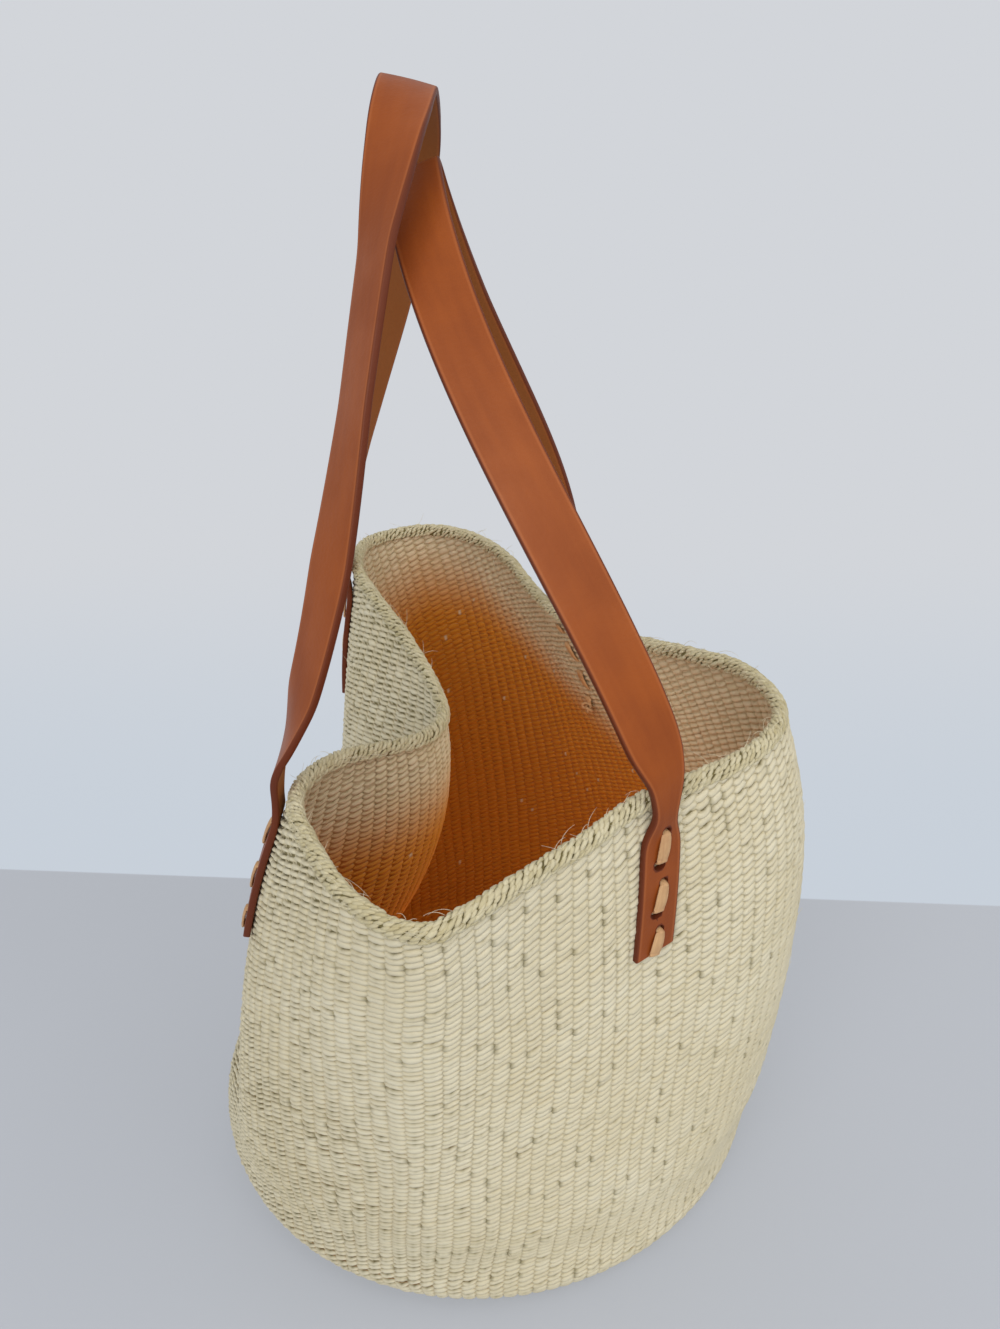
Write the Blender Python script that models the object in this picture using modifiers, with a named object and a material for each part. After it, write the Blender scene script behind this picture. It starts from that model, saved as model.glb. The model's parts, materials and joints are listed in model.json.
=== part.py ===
"""Kiondo basket: a twined sisal basket with two leather carrying straps.

The basket stands on the floor with +Z up and its origin at the centre of the base.
The mouth is soft: it is drawn in from the sides, and the left wall folds inward between the ends
of the left strap. Every warp keeps its woven length, so a warp that leans further ends lower.
Each strap is one piece of leather. It is split at its two flex lines, just above the border, into
a loop that swings and two tabs that stay laced to the wall.
"""

import math

import bmesh
import bpy
import numpy as np
from mathutils import Matrix, Vector

# Basket sizes, in metres
BASKET_RADIUS = 0.140
WARP_LENGTH = 0.273
WEAVE_THICKNESS = 0.005
CORNER_RADIUS = 0.022
FOOT_LAP = 0.006
BORDER_WIDTH = 0.0075
BORDER_HEIGHT = 0.0085
MID_LEAN = 0.005

# Strap and lace sizes, in metres
STRAP_WIDTH = 0.021
STRAP_THICKNESS = 0.003
STRAP_EDGE_ROUND = 0.0006
TAB_WIDTH = 0.0165
NECK_WIDTH = 0.009
NECK_DROP = 0.008
NECK_RISE = 0.008
TAB_FLARE = 0.014
TAPER_LENGTH = 0.019
TAB_SLANT = 0.0042
LEFT_STRAP_RISE = 0.216
RIGHT_STRAP_RISE = 0.1896
LACE_WIDTH = 0.0046
LACE_THICKNESS = 0.0016
LACE_BEND = 0.0012
FIRST_HOLE_DROP = 0.012
STITCH_LENGTH = 0.012
STITCH_GAP = 0.0085
TAB_MARGIN = 0.0095
LACE_TAIL = 0.0045
KNOT_RADIUS = 0.0028
KNOT_LENGTH = 0.0042

# Clearances, in metres
PIECE_GAP = 0.0003
SEAT_GAP = 0.0006
HOLE_CLEARANCE = 0.0004
CUT_OVERRUN = 0.002

# Counts
COLUMNS = 104
CORNER_ROWS = 3
WALL_ROWS = 11
BORDER_SIDES = 8
OUTLINE_STEPS = 16
LEG_STATIONS = 20
TAB_STATIONS = 9
STITCHES = 3
SMOOTH_SAMPLES = 60

# The mouth, clockwise from the front dip, seen from above. Each row is a point of the border's
# centre line: x and y as shares of the basket radius, how early its warp draws in from the round
# base (1 is low down, -1 is only near the border), and how far the wall below it swells outward,
# as a share of the basket radius.
MOUTH_SHARES = (
    (-0.044, -1.391, -0.55, 0.00),
    (-0.108, -1.377, -0.60, 0.01),
    (-0.164, -1.339, -0.70, 0.01),
    (-0.250, -1.241, -0.90, 0.03),
    (-0.328, -1.091, -1.10, 0.035),
    (-0.398, -0.910, -1.10, 0.035),
    (-0.400, -0.742, -0.70, 0.03),
    (-0.326, -0.562, 0.20, 0.015),
    (-0.204, -0.402, 0.80, 0.00),
    (-0.103, -0.236, 1.00, 0.00),
    (-0.061, -0.070, 1.00, 0.00),
    (-0.106, 0.092, 0.80, 0.00),
    (-0.195, 0.276, 0.50, 0.00),
    (-0.309, 0.477, 0.00, 0.01),
    (-0.386, 0.682, -0.60, 0.02),
    (-0.380, 0.926, -0.90, 0.03),
    (-0.248, 1.060, -0.80, 0.02),
    (-0.084, 1.070, -0.60, 0.01),
    (0.079, 0.925, -0.55, 0.00),
    (0.192, 0.724, -0.55, 0.00),
    (0.258, 0.524, -0.55, 0.00),
    (0.352, 0.293, -0.55, 0.01),
    (0.472, 0.107, -0.55, 0.02),
    (0.615, -0.058, -0.55, 0.035),
    (0.747, -0.208, -0.55, 0.05),
    (0.843, -0.330, -0.55, 0.065),
    (0.892, -0.490, -0.55, 0.07),
    (0.884, -0.635, -0.55, 0.07),
    (0.813, -0.762, -0.55, 0.065),
    (0.715, -0.855, -0.55, 0.055),
    (0.585, -0.939, -0.55, 0.035),
    (0.451, -1.017, -0.55, 0.02),
    (0.319, -1.143, -0.55, 0.01),
    (0.198, -1.237, -0.55, 0.00),
    (0.085, -1.320, -0.55, 0.00),
    (-0.002, -1.374, -0.55, 0.00),
)
# The first warp's foot, as a share of a turn round the base from +X
FIRST_WARP_SHARE = -0.282
# The share of a warp's height over which the draw-in starts
DRAW_START_SHARE = 0.2

# Where each strap end meets the border, as a share of the way round the mouth
STRAP_END_SHARES = {
    "left_front": 0.115,
    "left_rear": 0.380,
    "right_rear": 0.620,
    "right_front": 0.892,
}
# How far each tab leans off its warp, as the share of the way round that it would gain by the foot
TAB_LEAN_SHARES = {
    "left_front": 0.0,
    "left_rear": 0.0,
    "right_rear": -0.08,
    "right_front": 0.032,
}
# How long each tab and its stitches are, as a share of the lengths named above
TAB_LENGTH_SHARES = {
    "left_front": 1.2,
    "left_rear": 1.2,
    "right_rear": 1.2,
    "right_front": 1.0,
}
# The top of each strap, as shares of the basket radius
LEFT_APEX_SHARES = (-0.020, -0.113)
RIGHT_APEX_SHARES = (-0.024, -0.162)
# How full each loop's arch is: 1 is an ellipse, less is more pointed
LEFT_ARCH_SHARE = 0.93
RIGHT_ARCH_SHARE = 0.77
# How far each leg leans towards the top a third and two thirds of the way up, as the two handles
# of a curve: 0.33 and 0.67 are a straight leg
LEAN_SHARES = {
    "left_front": (0.56, 0.67),
    "left_rear": (0.10, 0.97),
    "right_rear": (-0.11, 0.78),
    "right_front": (0.24, 0.88),
}
# How far a strap has turned from its tab's direction to its top's, at places along a leg
TWIST_PLACE_SHARES = (0.0, 0.12, 0.30, 0.50, 0.70, 0.86, 1.0)
TWIST_SHARES = {
    "left_front": (0.0, 0.39, 0.48, 0.37, 0.38, 0.60, 1.0),
    "left_rear": (0.0, 0.32, 0.44, 0.51, 0.52, 0.75, 1.0),
    "right_rear": (0.0, 0.38, 0.44, 0.46, 0.53, 0.75, 1.0),
    "right_front": (0.0, 0.40, 0.62, 0.73, 0.77, 0.87, 1.0),
}

# Sizes that follow from the ones above
WALL_RADIUS = BASKET_RADIUS - WEAVE_THICKNESS / 2
CORNER_MID_RADIUS = CORNER_RADIUS - WEAVE_THICKNESS / 2
FOOT_RADIUS = WALL_RADIUS - CORNER_MID_RADIUS
WALL_FOOT_HEIGHT = WEAVE_THICKNESS / 2 + CORNER_MID_RADIUS
TAB_OFFSET = WEAVE_THICKNESS / 2 + SEAT_GAP + STRAP_THICKNESS / 2
BORDER_OFFSET = BORDER_WIDTH / 2 + SEAT_GAP + STRAP_THICKNESS / 2
LACE_OUT_RISE = STRAP_THICKNESS / 2 + PIECE_GAP + LACE_THICKNESS / 2
LACE_IN_OFFSET = WEAVE_THICKNESS / 2 + SEAT_GAP + LACE_THICKNESS / 2
LAST_STITCH_DROP = FIRST_HOLE_DROP + (STITCHES - 1) * (STITCH_LENGTH + STITCH_GAP)
TAB_LENGTH = LAST_STITCH_DROP + TAB_MARGIN
TONGUE_RADIUS = NECK_WIDTH / 2
SEAT_RADIUS = math.hypot(TONGUE_RADIUS, STRAP_THICKNESS / 2) + 2 * PIECE_GAP
FLEX_RISE = SEAT_RADIUS + PIECE_GAP
# The half width of a tab's top, as a share of the hollow's radius
SHOULDER_SHARE = 0.25
# Where the round tongue's rows lie, as shares of its quarter turn
TONGUE_SHARES = (0.17, 0.4, 0.67)

LEATHER = ("strap_leather", (0.46, 0.15, 0.05), 0.45)
LACE_LEATHER = ("lace_leather", (0.62, 0.36, 0.17), 0.65)
SISAL = ("sisal", (0.72, 0.64, 0.42), 0.9)
SISAL_BASE = ("sisal_base", (0.66, 0.58, 0.38), 0.9)
SISAL_BORDER = ("sisal_border", (0.68, 0.60, 0.37), 0.9)


def clear_scene():
    """Remove every object that the file holds."""
    for obj in list(bpy.data.objects):
        bpy.data.objects.remove(obj, do_unlink=True)


def new_collection(name):
    """Link a new collection to the scene."""
    collection = bpy.data.collections.new(name)
    bpy.context.scene.collection.children.link(collection)
    return collection


def material(finish):
    """A plain material from its name, colour and roughness."""
    name, colour, roughness = finish
    found = bpy.data.materials.get(name)
    if found:
        return found
    made = bpy.data.materials.new(name)
    made.use_nodes = True
    shader = made.node_tree.nodes["Principled BSDF"]
    shader.inputs["Base Color"].default_value = (*colour, 1.0)
    shader.inputs["Roughness"].default_value = roughness
    shader.inputs["Metallic"].default_value = 0.0
    return made


def add_object(name, mesh, collection, finish, origin=(0.0, 0.0, 0.0)):
    """Make an object of a mesh whose points are relative to the origin."""
    obj = bpy.data.objects.new(name, mesh)
    obj.location = origin
    mesh.materials.append(material(finish))
    collection.objects.link(obj)
    return obj


def smooth_share(value):
    """Ease a share from 0 to 1 with level ends."""
    value = np.clip(value, 0.0, 1.0)
    return value * value * (3.0 - 2.0 * value)


def mouth_rows():
    """Rows of x, y, draw and swell at even steps of length round the mouth's border."""
    points = np.array(MOUTH_SHARES)
    before = np.roll(points, 1, axis=0)
    after = np.roll(points, -1, axis=0)
    beyond = np.roll(points, -2, axis=0)
    curve = []
    for step in range(OUTLINE_STEPS):
        t = step / OUTLINE_STEPS
        curve.append(
            0.5
            * (
                2 * points
                + (after - before) * t
                + (2 * before - 5 * points + 4 * after - beyond) * t**2
                + (3 * points - before - 3 * after + beyond) * t**3
            )
        )
    curve = np.stack(curve, axis=1).reshape(-1, points.shape[1])
    closed = np.vstack([curve, curve[:1]])
    closed[:, [0, 1, 3]] *= BASKET_RADIUS
    lengths = np.linalg.norm(np.diff(closed[:, :2], axis=0), axis=1)
    along = np.concatenate([[0.0], np.cumsum(lengths)])
    steps = np.arange(COLUMNS) / COLUMNS * along[-1]
    rows = np.stack([np.interp(steps, along, closed[:, k]) for k in range(4)], axis=1)
    return rows, along[-1]


def outward(ring):
    """Unit vectors in plan that point out of a ring which runs clockwise."""
    along = np.roll(ring, -1, axis=0) - np.roll(ring, 1, axis=0)
    normal = np.stack([-along[:, 1], along[:, 0]], axis=1)
    return normal / np.linalg.norm(normal, axis=1)[:, None]


class Wall:
    """The middle surface of the woven wall, from the round base to the folded mouth."""

    def __init__(self):
        mouth, self.girth = mouth_rows()
        self.mouth = mouth[:, :2]
        self.draw = mouth[:, 2]
        self.swell = mouth[:, 3]
        angles = 2 * math.pi * (FIRST_WARP_SHARE - np.arange(COLUMNS) / COLUMNS)
        self.foot_direction = np.stack([np.cos(angles), np.sin(angles)], axis=1)
        foot = WALL_RADIUS * self.foot_direction
        shift = np.linalg.norm(self.mouth - foot, axis=1)
        self.mouth_height = np.sqrt(WARP_LENGTH**2 - shift**2)

    def ring(self, share):
        """The wall's points at a share of each warp's height, 0 at the corner and 1 at the border."""
        foot = WALL_RADIUS * self.foot_direction
        start = smooth_share(share / DRAW_START_SHARE)
        drawn = (share + self.draw * share * (1 - share))[:, None] * start
        plan = foot * (1 - drawn) + self.mouth * drawn
        edges = np.linalg.norm(np.roll(plan, -1, axis=0) - plan, axis=1)
        kept_girth = 2 * math.pi * WALL_RADIUS * (1 - share) + self.girth * share
        middle = plan.mean(axis=0)
        plan = middle + (plan - middle) * kept_girth / edges.sum()
        plan = plan + np.array([MID_LEAN, 0.0]) * 4 * share * (1 - share)
        # The swell is largest, at its full size, two thirds of the way up
        swell_profile = 27 / 4 * share**2 * (1 - share)
        plan = plan + outward(plan) * (self.swell * swell_profile)[:, None]
        height = WALL_FOOT_HEIGHT + (self.mouth_height - WALL_FOOT_HEIGHT) * share
        return np.column_stack([plan, height])

    def foot_ring(self):
        """The wall's inner edge, flat on the floor round the base."""
        plan = (FOOT_RADIUS - FOOT_LAP) * self.foot_direction
        return np.column_stack([plan, np.full(COLUMNS, WEAVE_THICKNESS / 2)])

    def corner_ring(self, share):
        """The rounded edge between the base and the wall: 0 is the base's rim, 1 the wall's foot."""
        turn = math.pi / 2 * share
        radius = FOOT_RADIUS + CORNER_MID_RADIUS * math.sin(turn)
        height = WEAVE_THICKNESS / 2 + CORNER_MID_RADIUS * (1 - math.cos(turn))
        plan = radius * self.foot_direction
        return np.column_stack([plan, np.full(COLUMNS, height)])

    def below_border(self, distance):
        """Points at a distance below the border's centre line, on the wall's middle."""
        top, lower = self.ring(1.0), self.ring(1 - 1 / WALL_ROWS)
        down = (lower - top) / np.linalg.norm(lower - top, axis=1)[:, None]
        return top + down * distance

    def path(self, round_share, lean_share):
        """Points up a path that leans off its warp, with the wall's outward normal and the
        direction square to the path on the wall."""
        points, across = [], []
        for step in range(SMOOTH_SAMPLES + 1):
            share = step / SMOOTH_SAMPLES
            place = (round_share + lean_share * (1 - share)) * COLUMNS
            column = int(math.floor(place))
            part = place - column
            ring = self.ring(share)
            here, after = ring[column % COLUMNS], ring[(column + 1) % COLUMNS]
            before, beyond = ring[(column - 1) % COLUMNS], ring[(column + 2) % COLUMNS]
            points.append(here * (1 - part) + after * part)
            across.append((after - before) * (1 - part) + (beyond - here) * part)
        points, across = np.array(points), np.array(across)
        across[:, 2] = 0.0
        up = np.gradient(points, axis=0)
        up /= np.linalg.norm(up, axis=1)[:, None]
        across -= up * (across * up).sum(axis=1)[:, None]
        across /= np.linalg.norm(across, axis=1)[:, None]
        normal = np.cross(up, across)
        normal /= np.linalg.norm(normal, axis=1)[:, None]
        return points, normal, across


def grid_mesh(name, rings, closed_round, origin=(0.0, 0.0, 0.0)):
    """An open surface through rows of points, joined round where asked."""
    mesh = bmesh.new()
    rows = [[mesh.verts.new(Vector(p) - Vector(origin)) for p in ring] for ring in rings]
    last = len(rows[0]) if closed_round else len(rows[0]) - 1
    for low, high in zip(rows[:-1], rows[1:]):
        for k in range(last):
            after = (k + 1) % len(low)
            mesh.faces.new((low[k], low[after], high[after], high[k]))
    bmesh.ops.recalc_face_normals(mesh, faces=mesh.faces)
    data = bpy.data.meshes.new(name)
    mesh.to_mesh(data)
    mesh.free()
    return data


def solidify(obj, thickness):
    """Give an open surface its thickness, half on each side."""
    shell = obj.modifiers.new("thickness", "SOLIDIFY")
    shell.thickness = thickness
    shell.offset = 0.0
    shell.use_even_offset = True


def round_edges(obj, width):
    """Round the long edges of a strap."""
    bevel = obj.modifiers.new("rounded_edges", "BEVEL")
    bevel.width = width
    bevel.segments = 1
    bevel.limit_method = "ANGLE"
    bevel.angle_limit = math.radians(60)


def boolean(obj, other, operation):
    """Cut another object out of this one, or join it on."""
    modifier = obj.modifiers.new(operation.lower() + "_" + other.name, "BOOLEAN")
    modifier.operation = operation
    modifier.solver = "EXACT"
    modifier.object = other


def add_cutter(name, mesh, cutters):
    """Make a helper object, which cuts or joins and isn't rendered."""
    bmesh.ops.recalc_face_normals(mesh, faces=mesh.faces)
    data = bpy.data.meshes.new(name)
    mesh.to_mesh(data)
    mesh.free()
    obj = bpy.data.objects.new(name, data)
    cutters.objects.link(obj)
    obj.hide_render = True
    obj.display_type = "WIRE"
    return obj


def make_base(collection):
    """The flat round start of the weave."""
    radius = FOOT_RADIUS - FOOT_LAP - PIECE_GAP
    mesh = bmesh.new()
    turn = Matrix.Rotation(2 * math.pi * FIRST_WARP_SHARE - math.pi / 2, 4, "Z")
    bmesh.ops.create_cone(
        mesh,
        cap_ends=True,
        segments=COLUMNS,
        radius1=radius,
        radius2=radius,
        depth=WEAVE_THICKNESS,
        matrix=Matrix.Translation((0.0, 0.0, WEAVE_THICKNESS / 2)) @ turn,
    )
    data = bpy.data.meshes.new("woven_base")
    mesh.to_mesh(data)
    mesh.free()
    return add_object("woven_base", data, collection, SISAL_BASE)


def make_wall(wall, collection):
    """The twined wall, with the rounded edge at its foot."""
    rings = [wall.foot_ring()]
    rings += [wall.corner_ring(k / CORNER_ROWS) for k in range(CORNER_ROWS)]
    rings += [wall.ring(k / WALL_ROWS) for k in range(WALL_ROWS)]
    rings.append(wall.below_border(BORDER_HEIGHT / 2 + SEAT_GAP))
    obj = add_object("woven_wall", grid_mesh("woven_wall", rings, True), collection, SISAL)
    solidify(obj, WEAVE_THICKNESS)
    return obj


def make_border(wall, collection):
    """The plaited border that closes the mouth, as an oval ring on the wall's top edge."""
    path = wall.ring(1.0)
    up = path - wall.below_border(BORDER_HEIGHT)
    along = np.roll(path, -1, axis=0) - np.roll(path, 1, axis=0)
    side = np.cross(along, up)
    side /= np.linalg.norm(side, axis=1)[:, None]
    up = np.cross(side, along)
    up /= np.linalg.norm(up, axis=1)[:, None]
    sections = []
    for k in range(BORDER_SIDES):
        turn = 2 * math.pi * (k + 0.5) / BORDER_SIDES
        reach = BORDER_WIDTH / 2 * math.cos(turn) / math.cos(math.pi / BORDER_SIDES)
        rise = BORDER_HEIGHT / 2 * math.sin(turn) / math.cos(math.pi / BORDER_SIDES)
        sections.append(path - side * reach + up * rise)
    sections.append(sections[0])
    data = grid_mesh("rim_border", sections, True)
    obj = add_object("rim_border", data, collection, SISAL_BORDER)
    weld = obj.modifiers.new("weld", "WELD")
    weld.merge_threshold = PIECE_GAP / 10
    return obj


class StrapEnd:
    """Where one end of a strap is laced to the wall: its tab, its holes and its flex point."""

    def __init__(self, wall, name):
        self.name = name
        self.length_share = TAB_LENGTH_SHARES[name]
        self.points, self.normals, self.across = wall.path(
            STRAP_END_SHARES[name], TAB_LEAN_SHARES[name]
        )
        steps = np.linalg.norm(np.diff(self.points, axis=0), axis=1)
        climbed = np.concatenate([[0.0], np.cumsum(steps)])
        self.drops = climbed[-1] - climbed
        top_normal = self.normals[-1].copy()
        top_normal[2] = 0.0
        top_normal /= np.linalg.norm(top_normal)
        self.rim = self.points[-1] + top_normal * BORDER_OFFSET
        self.flex = self.rim + np.array([0.0, 0.0, BORDER_HEIGHT / 2 + FLEX_RISE])
        self.width_direction = self.across[-1] * np.array([1.0, 1.0, 0.0])
        self.width_direction /= np.linalg.norm(self.width_direction)
        if name.startswith("right"):
            self.width_direction *= np.sign(self.width_direction[0])
        else:
            facing = -1.0 if name.endswith("front") else 1.0
            self.width_direction *= np.sign(self.width_direction[1]) * facing

    def frame(self, drop):
        """The wall's point, normal and direction round the basket, at a drop below the border."""
        order = np.argsort(self.drops)
        values = [
            np.array([np.interp(drop, self.drops[order], table[order, k]) for k in range(3)])
            for table in (self.points, self.normals, self.across)
        ]
        point, normal, across = values
        normal /= np.linalg.norm(normal)
        across -= normal * across.dot(normal)
        across /= np.linalg.norm(across)
        return point, normal, across * np.sign(across.dot(self.width_direction))

    def tab_length(self):
        """How far the tab reaches below the border."""
        return TAB_LENGTH * self.length_share

    def hole_drops(self):
        """How far below the border the lace passes through, from the top hole down."""
        drops = []
        for k in range(STITCHES):
            start = FIRST_HOLE_DROP + k * (STITCH_LENGTH + STITCH_GAP)
            drops += [start * self.length_share, (start + STITCH_LENGTH) * self.length_share]
        # The last stitch goes round the tab's cut end
        drops[-1] = self.tab_length() + SEAT_GAP + LACE_THICKNESS / 2
        return drops

    def tab_offset(self, drop):
        """How far the tab's middle stands off the wall's: more where it passes the border."""
        past = smooth_share((drop - BORDER_HEIGHT / 2) / (FIRST_HOLE_DROP - BORDER_HEIGHT / 2))
        return BORDER_OFFSET + (TAB_OFFSET - BORDER_OFFSET) * past

    def at(self, drop, offset):
        """A point off the wall's middle, at a drop below the border, and the width direction there."""
        point, normal, across = self.frame(drop)
        return point + normal * offset, across

    def place(self, drop, offset):
        """The same point as a matrix: X runs across the tab, Y up the wall and Z out of it."""
        point, normal, across = self.frame(drop)
        up = np.cross(normal, across)
        turn = Matrix((across, up, normal)).transposed().to_4x4()
        return Matrix.Translation(Vector(point + normal * offset)) @ turn


def strip(name, stations, thickness, collection, finish, origin=(0.0, 0.0, 0.0)):
    """A flat strip through stations of centre, width direction and width."""
    left = [centre - direction * width / 2 for centre, direction, width in stations]
    right = [centre + direction * width / 2 for centre, direction, width in stations]
    data = grid_mesh(name, list(zip(left, right)), False, origin)
    obj = add_object(name, data, collection, finish, origin)
    solidify(obj, thickness)
    return obj


def hole_cutter(end, cutters):
    """Slots through the tab and the wall for the lace."""
    mesh = bmesh.new()
    depth = 2 * (BORDER_OFFSET + STRAP_THICKNESS + CUT_OVERRUN)
    size = (
        LACE_WIDTH + 2 * HOLE_CLEARANCE,
        LACE_THICKNESS + 2 * HOLE_CLEARANCE,
        depth,
    )
    for drop in end.hole_drops():
        place = end.place(drop, 0.0) @ Matrix.Diagonal((*size, 1.0))
        bmesh.ops.create_cube(mesh, size=1.0, matrix=place)
    return add_cutter(end.name + "_holes", mesh, cutters)


def seat_cutter(end, cutters):
    """The ball that hollows the top of a tab, so that the loop's tongue turns clear of it."""
    mesh = bmesh.new()
    bmesh.ops.create_icosphere(
        mesh, subdivisions=3, radius=SEAT_RADIUS, matrix=Matrix.Translation(Vector(end.flex))
    )
    return add_cutter(end.name + "_seat", mesh, cutters)


def make_tab(end, holes, collection, cutters):
    """The end of a strap that lies on the wall, from its cut end to the flex line."""
    stations = []
    length = end.tab_length()
    for k in range(TAB_STATIONS):
        drop = length + (BORDER_HEIGHT / 2 - length) * k / (TAB_STATIONS - 1)
        centre, across = end.at(drop, end.tab_offset(drop))
        flare = smooth_share((drop - NECK_DROP) / TAB_FLARE)
        stations.append((centre, across, NECK_WIDTH + (TAB_WIDTH - NECK_WIDTH) * flare))
    centre, across, width = stations[0]
    rise = stations[1][0] - centre
    cut_edge = across * width + rise / np.linalg.norm(rise) * TAB_SLANT
    cut_length = np.linalg.norm(cut_edge)
    stations[0] = (centre, cut_edge / cut_length, cut_length)
    top_width = 2 * SEAT_RADIUS * SHOULDER_SHARE
    top_drop = SEAT_RADIUS * math.sqrt(1 - SHOULDER_SHARE**2)
    top = end.flex - np.array([0.0, 0.0, top_drop])
    stations.append((top, end.width_direction, top_width))
    obj = strip(end.name + "_tab", stations, STRAP_THICKNESS, collection, LEATHER)
    round_edges(obj, STRAP_EDGE_ROUND)
    boolean(obj, seat_cutter(end, cutters), "DIFFERENCE")
    boolean(obj, holes, "DIFFERENCE")
    return obj


def leg_stations(end, apex, arch_share, normal):
    """Stations up one leg, from the flex point to the strap's top."""
    low, high = LEAN_SHARES[end.name]
    centres = []
    for k in range(LEG_STATIONS + 1):
        turn = math.pi / 2 * k / LEG_STATIONS
        run = math.cos(turn) ** (1 / arch_share) if k < LEG_STATIONS else 0.0
        rise = math.sin(turn) ** (1 / arch_share)
        lean = 3 * rise * (1 - rise) * (low * (1 - rise) + high * rise) + rise**3
        x = end.flex[0] + (apex[0] - end.flex[0]) * lean
        y = apex[1] + (end.flex[1] - apex[1]) * run
        z = end.flex[2] + (apex[2] - end.flex[2]) * rise
        centres.append((x, y, z))
    centres = np.array(centres)
    steps = np.linalg.norm(np.diff(centres, axis=0), axis=1)
    along = np.concatenate([[0.0], np.cumsum(steps)])
    stations = []
    for centre, length in zip(centres, along):
        twist = np.interp(length / along[-1], TWIST_PLACE_SHARES, TWIST_SHARES[end.name])
        taper = smooth_share((length - NECK_RISE) / TAPER_LENGTH)
        width = NECK_WIDTH + (STRAP_WIDTH - NECK_WIDTH) * taper
        direction = end.width_direction * (1 - twist) + normal * twist
        stations.append((centre, direction, width))
    return stations


def tongue_stations(end, centre, upward):
    """The round end of a loop, which turns in the hollow top of its tab."""
    stations = []
    for share in TONGUE_SHARES:
        turn = math.pi / 2 * share
        place = centre - upward * TONGUE_RADIUS * math.cos(turn)
        stations.append((place, end.width_direction, 2 * TONGUE_RADIUS * math.sin(turn)))
    return stations


def squared(stations):
    """Turn each width direction square to the strip's run."""
    centres = np.array([station[0] for station in stations])
    runs = np.gradient(centres, axis=0)
    result = []
    for (centre, direction, width), run in zip(stations, runs):
        run = run / np.linalg.norm(run)
        direction = direction - run * direction.dot(run)
        result.append((centre, direction / np.linalg.norm(direction), width))
    return result


def make_loop(name, front, rear, apex_shares, rise, arch_share, collection):
    """The part of a strap that swings: both legs and the rounded top between them."""
    pivot = (front.flex + rear.flex) / 2
    apex = np.array([*(np.array(apex_shares) * BASKET_RADIUS), pivot[2] + rise])
    normal = np.cross(rear.flex - front.flex, apex - front.flex)
    normal /= np.linalg.norm(normal) * np.sign(normal[0])
    climb = leg_stations(front, apex, arch_share, normal)
    descent = leg_stations(rear, apex, arch_share, normal)[::-1]
    legs = squared(climb + descent[1:])
    start_run = (climb[1][0] - climb[0][0]) / np.linalg.norm(climb[1][0] - climb[0][0])
    end_run = (descent[-2][0] - descent[-1][0]) / np.linalg.norm(descent[-2][0] - descent[-1][0])
    first = squared(tongue_stations(front, front.flex, start_run))
    last = squared(tongue_stations(rear, rear.flex, end_run))[::-1]
    stations = first + legs + last
    obj = strip(name, stations, STRAP_THICKNESS, collection, LEATHER, tuple(pivot))
    round_edges(obj, STRAP_EDGE_ROUND)
    return obj


def bend(points, radius):
    """Round each inner corner of a run of drops and offsets with three points."""
    rounded = [points[0]]
    for before, corner, after in zip(points[:-2], points[1:-1], points[2:]):
        into = (corner - before) / np.linalg.norm(corner - before)
        out = (after - corner) / np.linalg.norm(after - corner)
        start, end = corner - into * radius, corner + out * radius
        middle = corner + (out - into) * radius * (1 - math.sqrt(0.5))
        rounded += [start, middle, end]
    return rounded + [points[-1]]


def make_lace(end, collection, cutters):
    """The flat thong that laces a tab to the wall, with a knot inside at its lower end."""
    inner = -LACE_IN_OFFSET
    drops = end.hole_drops()

    def outer(drop):
        return end.tab_offset(drop) + LACE_OUT_RISE

    route = [(drops[0] - LACE_TAIL, inner)]
    for k, drop in enumerate(drops):
        pair = [(drop, inner), (drop, outer(drop))]
        route += pair if k % 2 == 0 else pair[::-1]
    route.append((drops[-1] + LACE_TAIL, inner))
    route = bend([np.array(place) for place in route], LACE_BEND)
    stations = []
    for drop, offset in route:
        centre, across = end.at(drop, offset)
        stations.append((centre, across, LACE_WIDTH))
    obj = strip(end.name + "_lace", stations, LACE_THICKNESS, collection, LACE_LEATHER)
    knot = knot_shape(end, drops[-1] + LACE_TAIL, cutters)
    boolean(obj, knot, "UNION")
    return obj


def knot_shape(end, drop, cutters):
    """The knot in the lace, inside the basket."""
    offset = -(WEAVE_THICKNESS / 2 + SEAT_GAP + KNOT_RADIUS)
    size = Matrix.Diagonal((KNOT_LENGTH, KNOT_RADIUS, KNOT_RADIUS, 1.0))
    mesh = bmesh.new()
    place = end.place(drop, offset) @ size
    bmesh.ops.create_uvsphere(mesh, u_segments=10, v_segments=6, radius=1.0, matrix=place)
    return add_cutter(end.name + "_knot", mesh, cutters)


def main():
    """Build the basket, its border, its straps and their laces."""
    clear_scene()
    parts = new_collection("kiondo_basket")
    cutters = new_collection("cutters")
    wall = Wall()
    make_base(parts)
    wall_object = make_wall(wall, parts)
    make_border(wall, parts)
    ends = {name: StrapEnd(wall, name) for name in STRAP_END_SHARES}
    for end in ends.values():
        holes = hole_cutter(end, cutters)
        boolean(wall_object, holes, "DIFFERENCE")
        make_tab(end, holes, parts, cutters)
        make_lace(end, parts, cutters)
    make_loop(
        "left_handle_strap",
        ends["left_front"],
        ends["left_rear"],
        LEFT_APEX_SHARES,
        LEFT_STRAP_RISE,
        LEFT_ARCH_SHARE,
        parts,
    )
    make_loop(
        "right_handle_strap",
        ends["right_front"],
        ends["right_rear"],
        RIGHT_APEX_SHARES,
        RIGHT_STRAP_RISE,
        RIGHT_ARCH_SHARE,
        parts,
    )


main()
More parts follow.
